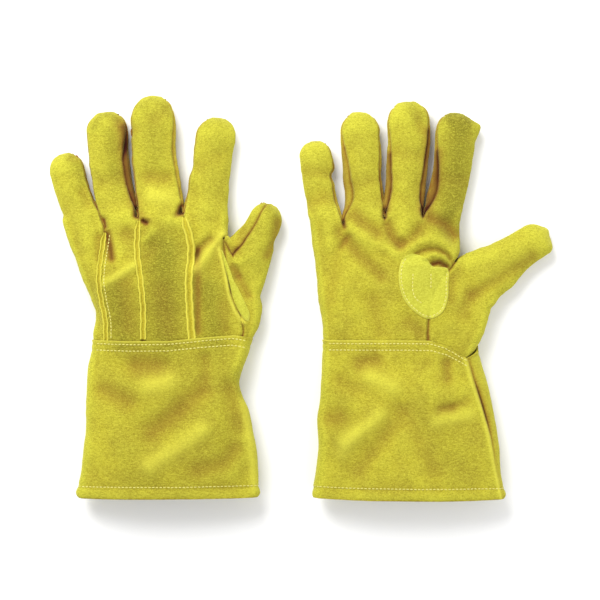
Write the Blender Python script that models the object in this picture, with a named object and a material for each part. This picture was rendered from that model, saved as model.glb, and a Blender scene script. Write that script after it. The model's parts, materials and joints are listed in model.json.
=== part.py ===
"""A pair of split-leather work gloves with gauntlet cuffs, lying flat: the left glove back up, the right palm up.

Each glove is sewn from a palm panel that reaches up between the fingers, four back panels with raised welts between
them, two panels and up to two side strips on each finger, a three-piece thumb, a crotch patch and a gauntlet. Every
leather panel is one closed solid. Lengths are in millimetres until a mesh is made. X runs across the pair, Y from the
cuffs to the fingertips, and Z up from the surface that the gloves lie on.
"""

import functools
import math

import bmesh
import bpy
import numpy as np
from mathutils import Matrix, Vector

MM = 0.001

# Leather and sewing. A panel's edge is drawn in by EDGE_PULL from the seam's line.
LEATHER = 1.5
SEAM_GAP = 0.3
EDGE_PULL = 0.62 * SEAM_GAP
WELT_WIDTH = 3.4
WELT_HEIGHT = 1.5
WELT_LIFT = 0.8
THREAD_WIDTH = 0.9
THREAD_HEIGHT = 0.5
THREAD_LIFT = 0.8
PATCH_THICKNESS = 1.1
PATCH_LIFT = 0.7

# The finger's section: the seam edges stand at this share of its half thickness, its sides bulge by this much, and
# its upper and lower faces are domed by this power of the distance from the middle.
EDGE_SHARE = 0.62
SIDE_BULGE = 3.5
DOME_POWER = 2.2

# A fingertip turns through TIP_SPREAD, closes by TIP_POWER of the way round, and rises a little at its seam.
TIP_SPREAD = math.radians(58)
TIP_POWER = 2.4
TIP_RISE = 0.12

# Each strip of the hand is crowned, more so towards the fingers, from CROWN_START (0 at the cuff, 1 at the roots).
UPPER_CROWN = 2.6
LOWER_CROWN = 1.8
LEAST_CROWN = 0.5
CROWN_START = 0.55

# A stall comes down to the surface over SETTLE_LENGTH, and leaves the hand's own shape over ROOT_LENGTH.
SETTLE_LENGTH = 22.0
ROOT_LENGTH = 20.0
STALL_FLOOR = 0.1

# The bends, in degrees. Each stall folds at its root, and the gauntlet folds at the wrist.
FINGER_FLEX = 60
THUMB_FLEX = 50
BACKWARD_FLEX = 10
WRIST_FLEX = 25
FINGER_HINGE = 14.0
THUMB_HINGE = 14.0
WRIST_Y = -58.0
HINGE_MARGIN = 0.8

# The gauntlet laps over the hand, fits it closely for SNUG_LENGTH and widens over SNUG_FADE. Its hem is double.
CUFF_EDGE_Y = -32.0
HAND_END_Y = -42.6
SNUG_LENGTH = 12.0
SNUG_FADE = 30.0
HEM_DEPTH = 10.0
STITCH_INSETS = (4.0, 10.0)
LAP_CLEAR = LEATHER + 4 * SEAM_GAP

# The hand's end is lifted under the lap until LAP_END, and comes down over LAP_FADE (shares of the hand's length).
LAP_END = 0.13
LAP_FADE = 0.2

# The gauntlet's section: its half heights from top to hem, and how high its rims stand.
CUFF_HEIGHTS = (15.5, 15.5, 16.5, 16.5)
CUFF_RIM = 0.42
CUFF_DOME_POWER = 2.6
CUFF_FLOOR = 1.5

# How finely a panel is divided.
STRIP_COLUMNS = 3
SIDE_COLUMNS = 2
HAND_ROWS = 8
ROOT_ROWS = 1
STALL_ROWS = 3
TIP_ROWS = 3
PATCH_ROWS = 5
CUFF_COLUMNS = 10
CUFF_ROWS = 4
WELT_ROWS = 10

FINGERS = ("little", "ring", "middle", "index", "thumb")

# seams: the lines between the strips of the hand, from the cuff to the finger roots, as (x, y): the outer little
# side, three between the fingers, the thumb seam and the outer thumb side. lines and halves: each stall's middle
# line after its root, and its half width along that line. rises and drops: how far the upper and lower leather stand
# from the middle height at the cuff, halfway and root. patch: the crotch patch's reach along the thumb seam, and to
# the seam's finger and thumb sides.
LEFT = {
    "name": "left",
    "palm_up": False,
    "seams": [
        [(-162.5, HAND_END_Y), (-165, -31), (-162.5, -14), (-168, 3), (-177, 28), (-185, 47), (-190, 62)],
        [(-159.5, HAND_END_Y), (-159.5, -18), (-163, 0), (-165, 18), (-163, 39), (-160.7, 56.6)],
        [(-128.7, HAND_END_Y), (-128.3, -8), (-130.4, 16), (-133.7, 41), (-132.8, 66.4)],
        [(-87.7, HAND_END_Y), (-90.2, -8), (-91, 16), (-89.4, 44), (-96, 69.7)],
        [(-54, HAND_END_Y), (-47.5, -26), (-52.5, -2.5), (-58.2, 13), (-64.8, 41.8), (-64.3, 52), (-64.3, 64)],
        [(-50, HAND_END_Y), (-46, -32), (-39.5, -19), (-37.5, -6), (-38, 4)],
    ],
    "lines": {
        "little": [(-186, 87), (-192, 107), (-194.5, 119.7)],
        "ring": [(-150, 77), (-153, 97), (-157.6, 136), (-159, 154.2)],
        "middle": [(-115.5, 87), (-119.3, 116), (-120.5, 141), (-121.4, 167.3)],
        "index": [(-77.3, 82), (-75, 102), (-70.5, 130), (-68, 149.2)],
        "thumb": [(-43.5, 38), (-36.5, 52), (-29, 66), (-25.5, 78.7)],
    },
    "halves": {
        "little": (15, 13, 12.8, 12.8),
        "ring": (15, 16, 16, 15.4, 15.4),
        "middle": (18, 17.8, 17.2, 17.2, 17.2),
        "index": (16.5, 16.3, 15.3, 15, 15),
        "thumb": (23, 20, 17.5, 13.5, 13),
    },
    "rises": [(7, 7, 6), (10.5, 11, 8), (14, 14, 8.5), (14, 14, 8.5), (9.5, 9, 6.5), (6.5, 6.5, 6.5)],
    "drops": [(6, 6, 6), (9, 12, 8), (9.8, 12.6, 8.5), (9.8, 12.6, 8.5), (9, 11, 6.5), (6, 6, 6)],
    "middle_height": (12.2, 12.2, 10.5),
    "floor": 0.0,
    "patch": {"from": 0.2, "finger_side": 1.5, "thumb_side": 6.5, "columns": 2},
    "cuff_left": [(-171, -28), (-171.5, -41), (-173, -57), (-174, -90), (-176.3, -123), (-182.9, -161)],
    "cuff_right": [(-37.2, -28), (-43.2, -41), (-51.3, -67), (-44.3, -94), (-36.9, -131), (-34.4, -161)],
    "cuff_lip": 0.0,
}
RIGHT = {
    "name": "right",
    "palm_up": True,
    "seams": [
        [(25.8, HAND_END_Y), (22.4, -16), (19, 8), (16, 37), (12.5, 64)],
        [(42, HAND_END_Y), (38.5, 8), (35.3, 62.3)],
        [(68, HAND_END_Y), (69, 8), (69.7, 66.4)],
        [(91.5, HAND_END_Y), (96, 8), (100.9, 67.2)],
        [(105, HAND_END_Y), (105, -18), (108.5, 0), (115.6, 16), (127.1, 30.3), (127.5, 45), (127.3, 64)],
        [(127.5, HAND_END_Y), (130.5, -34), (140, -24), (151.5, -6)],
    ],
    "lines": {
        "little": [(19.7, 74), (16, 92), (13.5, 111.5), (12.8, 130.4)],
        "ring": [(53.3, 78), (51.3, 102), (50, 131), (49, 154.2)],
        "middle": [(86.1, 87), (89, 118), (89.5, 141), (86.8, 164)],
        "index": [(118.1, 80), (123.8, 107), (126.3, 131), (128.7, 153.3)],
        "thumb": [(149, 20), (160.7, 28), (176.7, 39.8), (192.7, 49.5), (204.5, 55.5)],
    },
    "halves": {
        "little": (12.5, 12.3, 11.9, 11.9, 11.9),
        "ring": (17, 15.6, 15.8, 15.6, 15.6),
        "middle": (16, 16.4, 17.2, 16.8, 16.8),
        "index": (15, 15.6, 15.6, 15.6, 15.6),
        "thumb": (21.8, 20, 17.8, 15, 13.8, 13.8),
    },
    "rises": [(7, 7, 6), (11, 12, 8), (13, 13, 8.5), (12.5, 12.5, 8.5), (10.5, 10, 6.5), (7, 7, 6.5)],
    "drops": [(6, 6, 6), (9, 10.6, 8), (10, 11, 8.5), (10, 11, 8.5), (9, 10.5, 6.5), (6, 6, 6)],
    "middle_height": (14, 13.6, 12.6),
    "floor": 2.5,
    "patch": {"from": 0.17, "finger_side": 30, "thumb_side": 9, "columns": 4},
    "cuff_left": [(18.5, -28), (18.8, -45), (17.2, -78), (15.6, -102), (17.2, -123), (11.1, -163)],
    "cuff_right": [(146, -28), (145.5, -38), (152.5, -64), (159.9, -100), (164.8, -141), (167, -163)],
    "cuff_lip": 8.0,
}
GLOVES = (LEFT, RIGHT)

# A stall's half thickness at its root, middle and before its tip.
STALL_HALF = {
    "little": (9.5, 8.6, 8.2),
    "ring": (9.8, 9.3, 9),
    "middle": (9.8, 9.5, 9.2),
    "index": (9.8, 9.2, 9),
    "thumb": (11.5, 10.5, 9.5),
}

# Where the thumb's crotch lies between the gauntlet (0) and the finger roots (1), and its row of the hand.
THUMB_ROW = 5
THUMB_SPLIT = THUMB_ROW / HAND_ROWS


def smooth_curve(points, t):
    """The point at t (0 to 1) on a smooth curve through these points, spaced by their distances."""
    p = np.array(points, float).reshape(len(points), -1)
    knots = np.concatenate([[0], np.cumsum(np.linalg.norm(np.diff(p, axis=0), axis=1))])
    knots /= knots[-1]
    slopes = np.empty_like(p)
    slopes[1:-1] = (p[2:] - p[:-2]) / (knots[2:] - knots[:-2])[:, None]
    slopes[0] = (p[1] - p[0]) / (knots[1] - knots[0])
    slopes[-1] = (p[-1] - p[-2]) / (knots[-1] - knots[-2])
    i = int(np.clip(np.searchsorted(knots, t, side="right") - 1, 0, len(p) - 2))
    step = knots[i + 1] - knots[i]
    s = (t - knots[i]) / step
    value = (2 * s**3 - 3 * s**2 + 1) * p[i] + (s**3 - 2 * s**2 + s) * step * slopes[i]
    return value + (3 * s**2 - 2 * s**3) * p[i + 1] + (s**3 - s**2) * step * slopes[i + 1]


def through(values, t):
    """A number that runs smoothly through these equally spaced values."""
    return float(np.interp(t, np.linspace(0, 1, len(values)), values))


def smoothstep(x):
    x = min(max(x, 0.0), 1.0)
    return x * x * (3 - 2 * x)


def seam_point(glove, i, v):
    """The place, in plan, of seam i at v. The thumb seam reaches its crotch at THUMB_SPLIT, and seam 5 ends there."""
    points = glove["seams"][i]
    if i == 5:
        return smooth_curve(points, v / THUMB_SPLIT)
    if i < 4:
        return smooth_curve(points, v)
    if v <= THUMB_SPLIT:
        return smooth_curve(points[:5], v / THUMB_SPLIT)
    return smooth_curve(points[4:], (v - THUMB_SPLIT) / (1 - THUMB_SPLIT))


def seam_height(glove, i, v, upper):
    """How far the leather stands above or below the middle height at seam i."""
    table = glove["rises" if upper else "drops"][i]
    if i == 4:
        return table[2] + (table[0] - table[2]) * (1 - smoothstep(v / THUMB_SPLIT))
    return through(table, v)


def strip_crown(v, upper):
    """How far the middle of a strip stands proud of its seams."""
    crown = UPPER_CROWN if upper else LOWER_CROWN
    return crown * smoothstep((v - CROWN_START) / (1 - CROWN_START)) + LEAST_CROWN


def middle_height(glove, v):
    return through(glove["middle_height"], v)


def hand_point(glove, column, v, upper):
    """A point of the hand's upper or lower leather. column counts strips from the little side."""
    i = min(int(column), 4)
    u = column - i
    plan = (1 - u) * seam_point(glove, i, v) + u * seam_point(glove, i + 1, v)
    height = (1 - u) * seam_height(glove, i, v, upper) + u * seam_height(glove, i + 1, v, upper)
    height += strip_crown(v, upper) * math.sin(math.pi * u) ** 2
    z = middle_height(glove, v) + (height if upper else -height)
    return np.array([plan[0], plan[1], max(z, glove["floor"] + lap_lift(v))])


def lap_lift(v):
    """How far the hand's end is lifted by the gauntlet that laps round it."""
    return (LAP_CLEAR + CUFF_FLOOR + SEAM_GAP) * (1 - smoothstep((v - LAP_END) / LAP_FADE))


def side_point(glove, i, v, c, outward):
    """A point of the leather between the upper (c 0) and lower (c 1) edges at seam i, bulging outward."""
    top = hand_point(glove, float(i), v, True)
    bottom = hand_point(glove, float(i), v, False)
    p = (1 - c) * top + c * bottom
    p[0] += outward * SIDE_BULGE * math.sin(math.pi * c)
    rounding = 0.5 - 0.5 * math.cos(math.pi * c)
    p[2] = (1 - rounding) * top[2] + rounding * bottom[2]
    return p


def outward_side(finger, left):
    """-1 or 1 where this side of a stall is the outside of the hand, and 0 where it faces another finger."""
    if finger == "little" and left:
        return -1
    if finger in ("index", "thumb") and not left:
        return 1
    return 0


def root_place(finger):
    """(the number of the seam on its left, v) where a stall starts."""
    return FINGERS.index(finger), THUMB_SPLIT if finger == "thumb" else 1.0


def root_point(glove, finger, ring):
    """The point where a stall starts, at ring: 0-1 upper, 1-2 right side, 2-3 lower, 3-4 left side."""
    k, v = root_place(finger)
    side, c = int(ring) % 4, ring - int(ring)
    if side == 0:
        return hand_point(glove, k + c, v, True)
    if side == 2:
        return hand_point(glove, k + 1 - c, v, False)
    if side == 1:
        return side_point(glove, k + 1, v, c, outward_side(finger, False))
    return side_point(glove, k, v, 1 - c, outward_side(finger, True))


class Stall:
    """One finger or thumb of a glove, from its root to its tip."""

    def __init__(self, glove, finger):
        self.glove, self.finger = glove, finger
        self.fold = THUMB_HINGE if finger == "thumb" else FINGER_HINGE
        k, v = root_place(finger)
        root = (seam_point(glove, k, v) + seam_point(glove, k + 1, v)) / 2
        self.line = [tuple(root)] + glove["lines"][finger]
        self.root_height = middle_height(glove, v)
        steps = np.diff(np.array([smooth_curve(self.line, t) for t in np.linspace(0, 1, 41)]), axis=0)
        self.length = float(np.linalg.norm(steps, axis=1).sum())
        self.tip = glove["halves"][finger][-1]
        self.body = self.length - self.tip

    def place(self, along):
        """The middle line's point and direction at this distance from the root."""
        t = along / self.length
        step = 0.02
        here = smooth_curve(self.line, min(max(t, 0), 1))
        before = smooth_curve(self.line, min(max(t - step, 0), 1 - 2 * step))
        ahead = smooth_curve(self.line, min(t + step, 1)) - before
        direction = ahead / np.linalg.norm(ahead)
        if not 0 <= t <= 1:
            here = here + direction * (along - self.length * min(max(t, 0), 1))
        return here, direction

    def half_width(self, along):
        return through(self.glove["halves"][self.finger], min(along / self.body, 1))

    def half_thickness(self, along):
        return through(STALL_HALF[self.finger], min(along / self.body, 1))

    def height(self, along):
        """The middle height: the hand's at the root, then half a stall above the surface."""
        lying = self.half_thickness(along) + STALL_FLOOR
        return lying + (self.root_height - lying) * (1 - smoothstep(along / SETTLE_LENGTH))

    def ring_shape(self, ring):
        """(share of the half width, height share, bulge share) round the section."""
        side, c = int(ring) % 4, ring - int(ring)
        if side in (0, 2):
            a = (2 * c - 1) * (1 if side == 0 else -1)
            rise = EDGE_SHARE + (1 - EDGE_SHARE) * (1 - abs(a) ** DOME_POWER)
            return a, rise * (1 if side == 0 else -1), 0.0
        hand = 1 if side == 1 else -1
        return hand, EDGE_SHARE * math.cos(math.pi * c) * hand, hand * math.sin(math.pi * c)

    def point(self, ring, along):
        """The leather's point at ring and at this distance along the middle line, up to the tip's round."""
        a, rise, bulge = self.ring_shape(ring)
        here, direction = self.place(along)
        across = np.array([direction[1], -direction[0]])
        plan = here + across * (a * (self.half_width(along) - SIDE_BULGE) + bulge * SIDE_BULGE)
        own = np.array([plan[0], plan[1], self.height(along) + rise * self.half_thickness(along)])
        start, _ = self.place(0)
        slid = root_point(self.glove, self.finger, ring) + np.append(here - start, 0)
        return slid + (own - slid) * smoothstep(along / ROOT_LENGTH)

    def tip_point(self, ring, q):
        """The leather's point in the tip's round, from q 0 where it starts to q 1 at the tip seam."""
        a, rise, bulge = self.ring_shape(ring)
        turn = q * TIP_SPREAD
        fade = math.sqrt(max(1 - q**TIP_POWER, 0.0))
        rounding = math.sqrt(1 - (a * math.cos(TIP_SPREAD)) ** 2) - math.sin(TIP_SPREAD)
        here, direction = self.place(self.body + self.tip * (math.sin(turn) + rounding * q * q))
        across = np.array([direction[1], -direction[0]])
        lateral = (a * (self.tip - SIDE_BULGE) + bulge * SIDE_BULGE * fade) * math.cos(turn)
        plan = here + across * lateral
        thick = self.half_thickness(self.body)
        rises = rise * fade + TIP_RISE * q * q
        return np.array([plan[0], plan[1], self.height(self.body) + thick * rises])

    def hinge(self):
        """(point, direction along the stall) of its fold, at middle height."""
        here, direction = self.place(self.fold)
        return np.array([here[0], here[1], self.height(self.fold)]), direction

    def notch(self, ring):
        """How far the leather ends from the fold at ring, so that the folded stall stays clear."""
        flex = THUMB_FLEX if self.finger == "thumb" else FINGER_FLEX
        _, rise, _ = self.ring_shape(ring)
        palm_share = (1 + (rise if self.glove["palm_up"] else -rise)) / 2
        thick = self.half_thickness(self.fold) + LEATHER
        palm = thick * math.tan(math.radians(flex / 2)) + HINGE_MARGIN
        back = thick * math.tan(math.radians(BACKWARD_FLEX / 2)) + HINGE_MARGIN
        return back + (palm - back) * palm_share


def ring_stations():
    """The ring values of a stall's columns."""
    counts = (STRIP_COLUMNS, SIDE_COLUMNS, STRIP_COLUMNS, SIDE_COLUMNS)
    return [side + j / n for side, n in enumerate(counts) for j in range(n)] + [4.0]


class Panels:
    """A sheet of leather in the making: faces that share their edges, each with the name of its panel."""

    def __init__(self):
        self.mesh = bmesh.new()
        self.layer = self.mesh.faces.layers.int.new("panel")
        self.names = []

    def grid(self, rows, name_of):
        """Adds the faces of a grid of points. name_of(row, column) names each face's panel."""
        verts = [[self.mesh.verts.new(Vector(p)) for p in row] for row in rows]
        for i in range(len(rows) - 1):
            for j in range(len(rows[0]) - 1):
                corners = (verts[i][j], verts[i][j + 1], verts[i + 1][j + 1], verts[i + 1][j])
                face = self.mesh.faces.new(corners)
                name = name_of(i, j)
                if name not in self.names:
                    self.names.append(name)
                face[self.layer] = self.names.index(name)

    def sewn(self):
        """Joins the grids where their edges meet, with all faces looking out."""
        bmesh.ops.remove_doubles(self.mesh, verts=self.mesh.verts[:], dist=0.02)
        bmesh.ops.dissolve_degenerate(self.mesh, edges=self.mesh.edges[:], dist=0.01)
        bmesh.ops.recalc_face_normals(self.mesh, faces=self.mesh.faces[:])
        self.mesh.normal_update()
        return self

    def turn_out(self, middle):
        """Turns the whole sheet round if its faces look towards this inner point."""
        looks = sum(f.normal.dot(f.calc_center_median() - Vector(middle)) * f.calc_area() for f in self.mesh.faces)
        if looks < 0:
            bmesh.ops.reverse_faces(self.mesh, faces=self.mesh.faces[:])
            self.mesh.normal_update()


def thickened(panels, name, thickness_of):
    """One panel as a closed solid: its outer face, an inner face that much below it, and its cut edges."""
    label = panels.names.index(name)
    faces = [f for f in panels.mesh.faces if f[panels.layer] == label]
    inside = set(faces)
    edges = {e for f in faces for e in f.edges if sum(g in inside for g in e.link_faces) == 1}
    rim = {v for e in edges for v in e.verts}
    solid = bmesh.new()
    outer, inner = {}, {}
    for v in {v for f in faces for v in f.verts}:
        place = v.co.copy()
        if v in rim:
            near = [f.calc_center_median() for f in v.link_faces if f in inside]
            pull = sum(near, Vector()) / len(near) - v.co
            pull -= v.normal * pull.dot(v.normal)
            if pull.length > 1e-6:
                place += pull.normalized() * EDGE_PULL
        outer[v] = solid.verts.new(place)
        inner[v] = solid.verts.new(place - v.normal * thickness_of(place))
    for f in faces:
        corners = list(f.verts)
        solid.faces.new([outer[v] for v in corners])
        solid.faces.new([inner[v] for v in reversed(corners)])
        for loop in f.loops:
            if loop.edge in edges:
                a, b = loop.vert, loop.link_loop_next.vert
                solid.faces.new([outer[b], outer[a], inner[a], inner[b]])
    return closed_solid(solid)


def closed_solid(solid):
    """The solid in triangles, with its faces looking out."""
    bmesh.ops.triangulate(solid, faces=solid.faces[:])
    bmesh.ops.recalc_face_normals(solid, faces=solid.faces[:])
    if solid.calc_volume(signed=True) < 0:
        bmesh.ops.reverse_faces(solid, faces=solid.faces[:])
    return solid


def side_names(finger, part, left, strip):
    """The panels of a side's columns, from the upper edge down: halves of the two panels, or one strip."""
    upper, lower = part
    if outward_side(finger, left) or finger == "thumb":
        return [upper if j < SIDE_COLUMNS / 2 else lower for j in range(SIDE_COLUMNS)]
    return [strip] * SIDE_COLUMNS


def hand_panel_names(glove, k):
    """(upper, lower) panel names of strip k of the hand."""
    back = "thumb_base" if k == 4 else f"back_{FINGERS[k]}"
    palm = "thumb_base" if k == 4 else "palm_panel"
    return (palm, back) if glove["palm_up"] else (back, palm)


def stall_grid(stall, first, upto_tip, part, outer_strip, inner_strip):
    """The rows of a stall: up to first(ring), or from there to its tip. Also the panel of each column."""
    stations = ring_stations()
    rows = []
    if upto_tip:
        for i in range(STALL_ROWS):
            share = i / STALL_ROWS
            rows.append([stall.point(r, first(r) + (stall.body - first(r)) * share) for r in stations])
        rows += [[stall.tip_point(r, q) for r in stations] for q in tip_stations()]
    else:
        for i in range(ROOT_ROWS + 1):
            share = i / ROOT_ROWS
            rows.append([stall.point(r, first(r) * share) for r in stations])
    left = side_names(stall.finger, part, True, outer_strip)
    right = side_names(stall.finger, part, False, inner_strip)
    names = [part[0]] * STRIP_COLUMNS + right + [part[1]] * STRIP_COLUMNS + left[::-1]
    return rows, names


def tip_stations():
    return [math.sin(i / TIP_ROWS * math.pi / 2) for i in range(TIP_ROWS + 1)]


def hand_panels(glove, stalls):
    """The leather of the hand, with the roots of its stalls, up to their folds."""
    panels = Panels()
    for k in range(5):
        for upper, name in zip((True, False), hand_panel_names(glove, k)):
            panels.grid(strip_rows(glove, k, upper), lambda i, j, name=name: name)
    for seam, first, last, outward, k in (
        (0, 0, HAND_ROWS, -1, 0),
        (4, THUMB_ROW, HAND_ROWS, 1, 3),
        (5, 0, THUMB_ROW, 1, 4),
    ):
        names = hand_panel_names(glove, k)
        rows = wall_rows(glove, seam, first, last, outward)
        panels.grid(rows, lambda i, j, names=names: names[0 if j < SIDE_COLUMNS / 2 else 1])
    for finger, stall in stalls.items():
        part = hand_panel_names(glove, FINGERS.index(finger))
        end = functools.partial(fold_edge, stall, -1)
        rows, names = stall_grid(stall, end, False, part, "palm_panel", "palm_panel")
        panels.grid(rows, lambda i, j, names=names: names[j])
    panels.sewn()
    panels.turn_out((hand_point(glove, 2.0, 0.5, True) + hand_point(glove, 2.0, 0.5, False)) / 2)
    return panels


def strip_rows(glove, k, upper):
    """The points of strip k of the hand's upper or lower leather."""
    last = THUMB_ROW if k == 4 else HAND_ROWS
    columns = [k + j / STRIP_COLUMNS for j in range(STRIP_COLUMNS + 1)]
    return [[hand_point(glove, column, i / HAND_ROWS, upper) for column in columns] for i in range(last + 1)]


def wall_rows(glove, seam, first, last, outward):
    """The points of an outer side of the hand. The index side's bulge grows from the thumb crotch."""
    rows = []
    for i in range(first, last + 1):
        bulge = outward * (smoothstep((i - first) / 2) if seam == 4 else 1)
        rows.append([side_point(glove, seam, i / HAND_ROWS, j / SIDE_COLUMNS, bulge) for j in range(SIDE_COLUMNS + 1)])
    return rows


def fold_edge(stall, side, ring):
    """How far along the stall its leather starts (side 1) or the hand's ends (side -1) at ring."""
    return stall.fold + side * stall.notch(ring)


def stall_panels(stall):
    """The leather of one stall beyond its fold."""
    front, back = f"{stall.finger}_front", f"{stall.finger}_back"
    part = (front, back) if stall.glove["palm_up"] else (back, front)
    strips = [f"{stall.finger}_{side}_side_strip" for side in ("outer", "inner")]
    rows, names = stall_grid(stall, functools.partial(fold_edge, stall, 1), True, part, *strips)
    panels = Panels()
    panels.grid(rows, lambda i, j: names[j])
    panels.sewn()
    middle, _ = stall.place(stall.body * 0.6)
    panels.turn_out((middle[0], middle[1], stall.height(stall.body)))
    return panels


def cuff_point(glove, ring, y):
    """A point of the gauntlet's outer face at ring and y. Its upper edge follows the hand that it is sewn to."""
    left, right = (across_at(glove[edge], y) for edge in ("cuff_left", "cuff_right"))
    share = min(max((CUFF_EDGE_Y - y) / (CUFF_EDGE_Y - cuff_bottom(glove)), 0), 1)
    height = through(CUFF_HEIGHTS, share)
    rim = CUFF_RIM * height
    lip = glove["cuff_lip"]
    side, c = int(ring) % 4, ring - int(ring)
    if side in (0, 2):
        a = (2 * c - 1) * (1 if side == 0 else -1)
        right_edge = right - SIDE_BULGE - (lip if side == 0 else 0)
        x = left + SIDE_BULGE + (a + 1) / 2 * (right_edge - left - SIDE_BULGE)
        rise = rim + (height - rim) * (1 - abs(a) ** CUFF_DOME_POWER)
        z = height + CUFF_FLOOR + (rise if side == 0 else -rise)
    else:
        sign = 1 if side == 1 else -1
        turn = math.sin(math.pi * c) * SIDE_BULGE
        z = height + CUFF_FLOOR + sign * rim * math.cos(math.pi * c)
        x = left + SIDE_BULGE - turn if sign < 0 else right - SIDE_BULGE - lip * (1 - c) + turn
    snug = 1 - smoothstep((CUFF_EDGE_Y - y - SNUG_LENGTH) / SNUG_FADE)
    down = {0: 0.0, 1: c, 2: 1.0, 3: 1 - c}[side]
    if snug > 0:
        z += snug * (hand_cover(glove, x, down) - z)
    return np.array([x, y, z])


@functools.cache
def hand_end(name, v):
    """The hand's outline near its end, across the glove of this name: (x, z) of its upper and its lower leather."""
    glove = next(g for g in GLOVES if g["name"] == name)
    columns = np.linspace(0, 5, 21)
    return [np.array([hand_point(glove, k, v, side)[[0, 2]] for k in columns]) for side in (True, False)]


def hand_cover(glove, x, down):
    """The height of the leather that laps over the hand's end at x: its upper side (down 0) to its lower (1)."""
    top, bottom = 0.0, 2 * CUFF_HEIGHTS[0]
    for v in (0.0, 0.06, 0.12, 0.17):
        upper, lower = hand_end(glove["name"], v)
        top = max(top, float(np.interp(x, upper[:, 0], upper[:, 1])))
        bottom = min(bottom, float(np.interp(x, lower[:, 0], lower[:, 1])))
    rounding = 0.5 - 0.5 * math.cos(math.pi * down)
    return top + LAP_CLEAR + (bottom - top - 2 * LAP_CLEAR) * rounding


def across_at(edge, y):
    """x of a cuff outline at this y, on the smooth curve through its points."""
    low, high = 0.0, 1.0
    for _ in range(40):
        middle = (low + high) / 2
        low, high = (middle, high) if smooth_curve(edge, middle)[1] > y else (low, middle)
    return float(smooth_curve(edge, low)[0])


def cuff_bottom(glove):
    return min(glove["cuff_left"][-1][1], glove["cuff_right"][-1][1])


def cuff_stations():
    counts = (CUFF_COLUMNS, SIDE_COLUMNS, CUFF_COLUMNS, SIDE_COLUMNS)
    return [side + j / n for side, n in enumerate(counts) for j in range(n)] + [4.0]


def wrist_notch():
    """How far the leather ends from the wrist's fold on either side."""
    return (CUFF_HEIGHTS[0] + 1) * math.tan(math.radians(WRIST_FLEX / 2)) + HINGE_MARGIN


def cuff_panels(glove, heights, name):
    """The gauntlet's leather between the first and last of these y."""
    panels = Panels()
    panels.grid([[cuff_point(glove, r, y) for r in cuff_stations()] for y in heights], lambda i, j: name)
    panels.sewn()
    left, right = (across_at(glove[edge], heights[0]) for edge in ("cuff_left", "cuff_right"))
    panels.turn_out(((left + right) / 2, sum(heights) / len(heights), CUFF_HEIGHTS[0]))
    return panels


def surface_normal(point_at, a, b, step_a, step_b):
    """The upward or downward normal of a surface given as point_at(a, b)."""
    first = point_at(a + step_a, b) - point_at(a - step_a, b)
    second = point_at(a, b + step_b) - point_at(a, b - step_b)
    n = np.cross(first, second)
    return n / np.linalg.norm(n)


def strip_solid(centres, normals, width, height, lift, closed=False):
    """A flat-bottomed, narrow-topped strip along a line of points, lifted off the leather."""
    solid = bmesh.new()
    rings = []
    count = len(centres)
    for i, (centre, normal) in enumerate(zip(centres, normals)):
        before = centres[(i - 1) % count] if closed or i > 0 else centres[i]
        after = centres[(i + 1) % count] if closed or i < count - 1 else centres[i]
        across = np.cross(after - before, normal)
        across /= np.linalg.norm(across)
        outline = ((-0.5, 0), (-0.34, 1), (0.34, 1), (0.5, 0))
        rings.append([
            solid.verts.new(Vector(centre + across * width * a + normal * (lift + height * b))) for a, b in outline
        ])
    for i in range(count if closed else count - 1):
        here, there = rings[i], rings[(i + 1) % count]
        for j in range(4):
            solid.faces.new((here[j], here[(j + 1) % 4], there[(j + 1) % 4], there[j]))
    if not closed:
        solid.faces.new(rings[0][::-1])
        solid.faces.new(rings[-1])
    return closed_solid(solid)


def welt(glove, seam):
    """The raised seam on the back of the hand, from the gauntlet's edge to a crotch."""
    upper = not glove["palm_up"]
    shares = np.linspace(0, 1, 101)
    first = next(v for v in shares if seam_point(glove, seam, v)[1] > CUFF_EDGE_Y + LEATHER)
    last = 1 - LEATHER / 100
    centres, normals = [], []
    for v in np.linspace(first, last, WELT_ROWS + 1):
        centres.append(hand_point(glove, float(seam), v, upper))
        n = surface_normal(lambda a, b: hand_point(glove, a, b, upper), seam, v, 0.05, 0.01)
        normals.append(n if (n[2] > 0) == upper else -n)
    return strip_solid(centres, normals, WELT_WIDTH, WELT_HEIGHT, WELT_LIFT)


def thread_strip(glove, route, closed):
    """Thread that lies on the gauntlet along a route of (ring, y). Ring 0 and ring 4 are the same place."""
    centres = [cuff_point(glove, r, y) for r, y in route]
    normals = []
    for r, y in route:
        tangent = cuff_point(glove, r + 0.02, y) - cuff_point(glove, r - 0.02 if r else 3.98, y)
        n = np.cross(tangent, cuff_point(glove, r, y + 0.5) - cuff_point(glove, r, y - 0.5))
        normals.append(n / np.linalg.norm(n))
    return strip_solid(centres, normals, THREAD_WIDTH, THREAD_HEIGHT, THREAD_LIFT, closed)


def hem_stitching(glove):
    """The row of thread that holds the turned hem."""
    bottom = cuff_bottom(glove) + HEM_DEPTH
    return thread_strip(glove, [(r, bottom) for r in cuff_stations()[:-1]], True)


def cuff_stitching(glove):
    """The thread that sews the gauntlet on: one length that runs round it twice, one row below the other."""
    first, second = (CUFF_EDGE_Y - inset for inset in STITCH_INSETS)
    stations = cuff_stations()[:-1]
    start = CUFF_COLUMNS // 2
    stations = stations[start:] + stations[:start]
    route = [(r, first) for r in stations] + [(r, second) for r in stations]
    return thread_strip(glove, route, False)


def across_thumb_seam(glove, v, offset, upper):
    """The hand's point this far, in millimetres, to the thumb's side (or the other) of the thumb seam."""
    k = 4 if offset > 0 else 3
    width = float(np.linalg.norm(seam_point(glove, k + 1, v) - seam_point(glove, k, v)))
    column = 4 + offset / width
    return hand_point(glove, min(max(column, 3.02), 4.98), v, upper)


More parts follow.
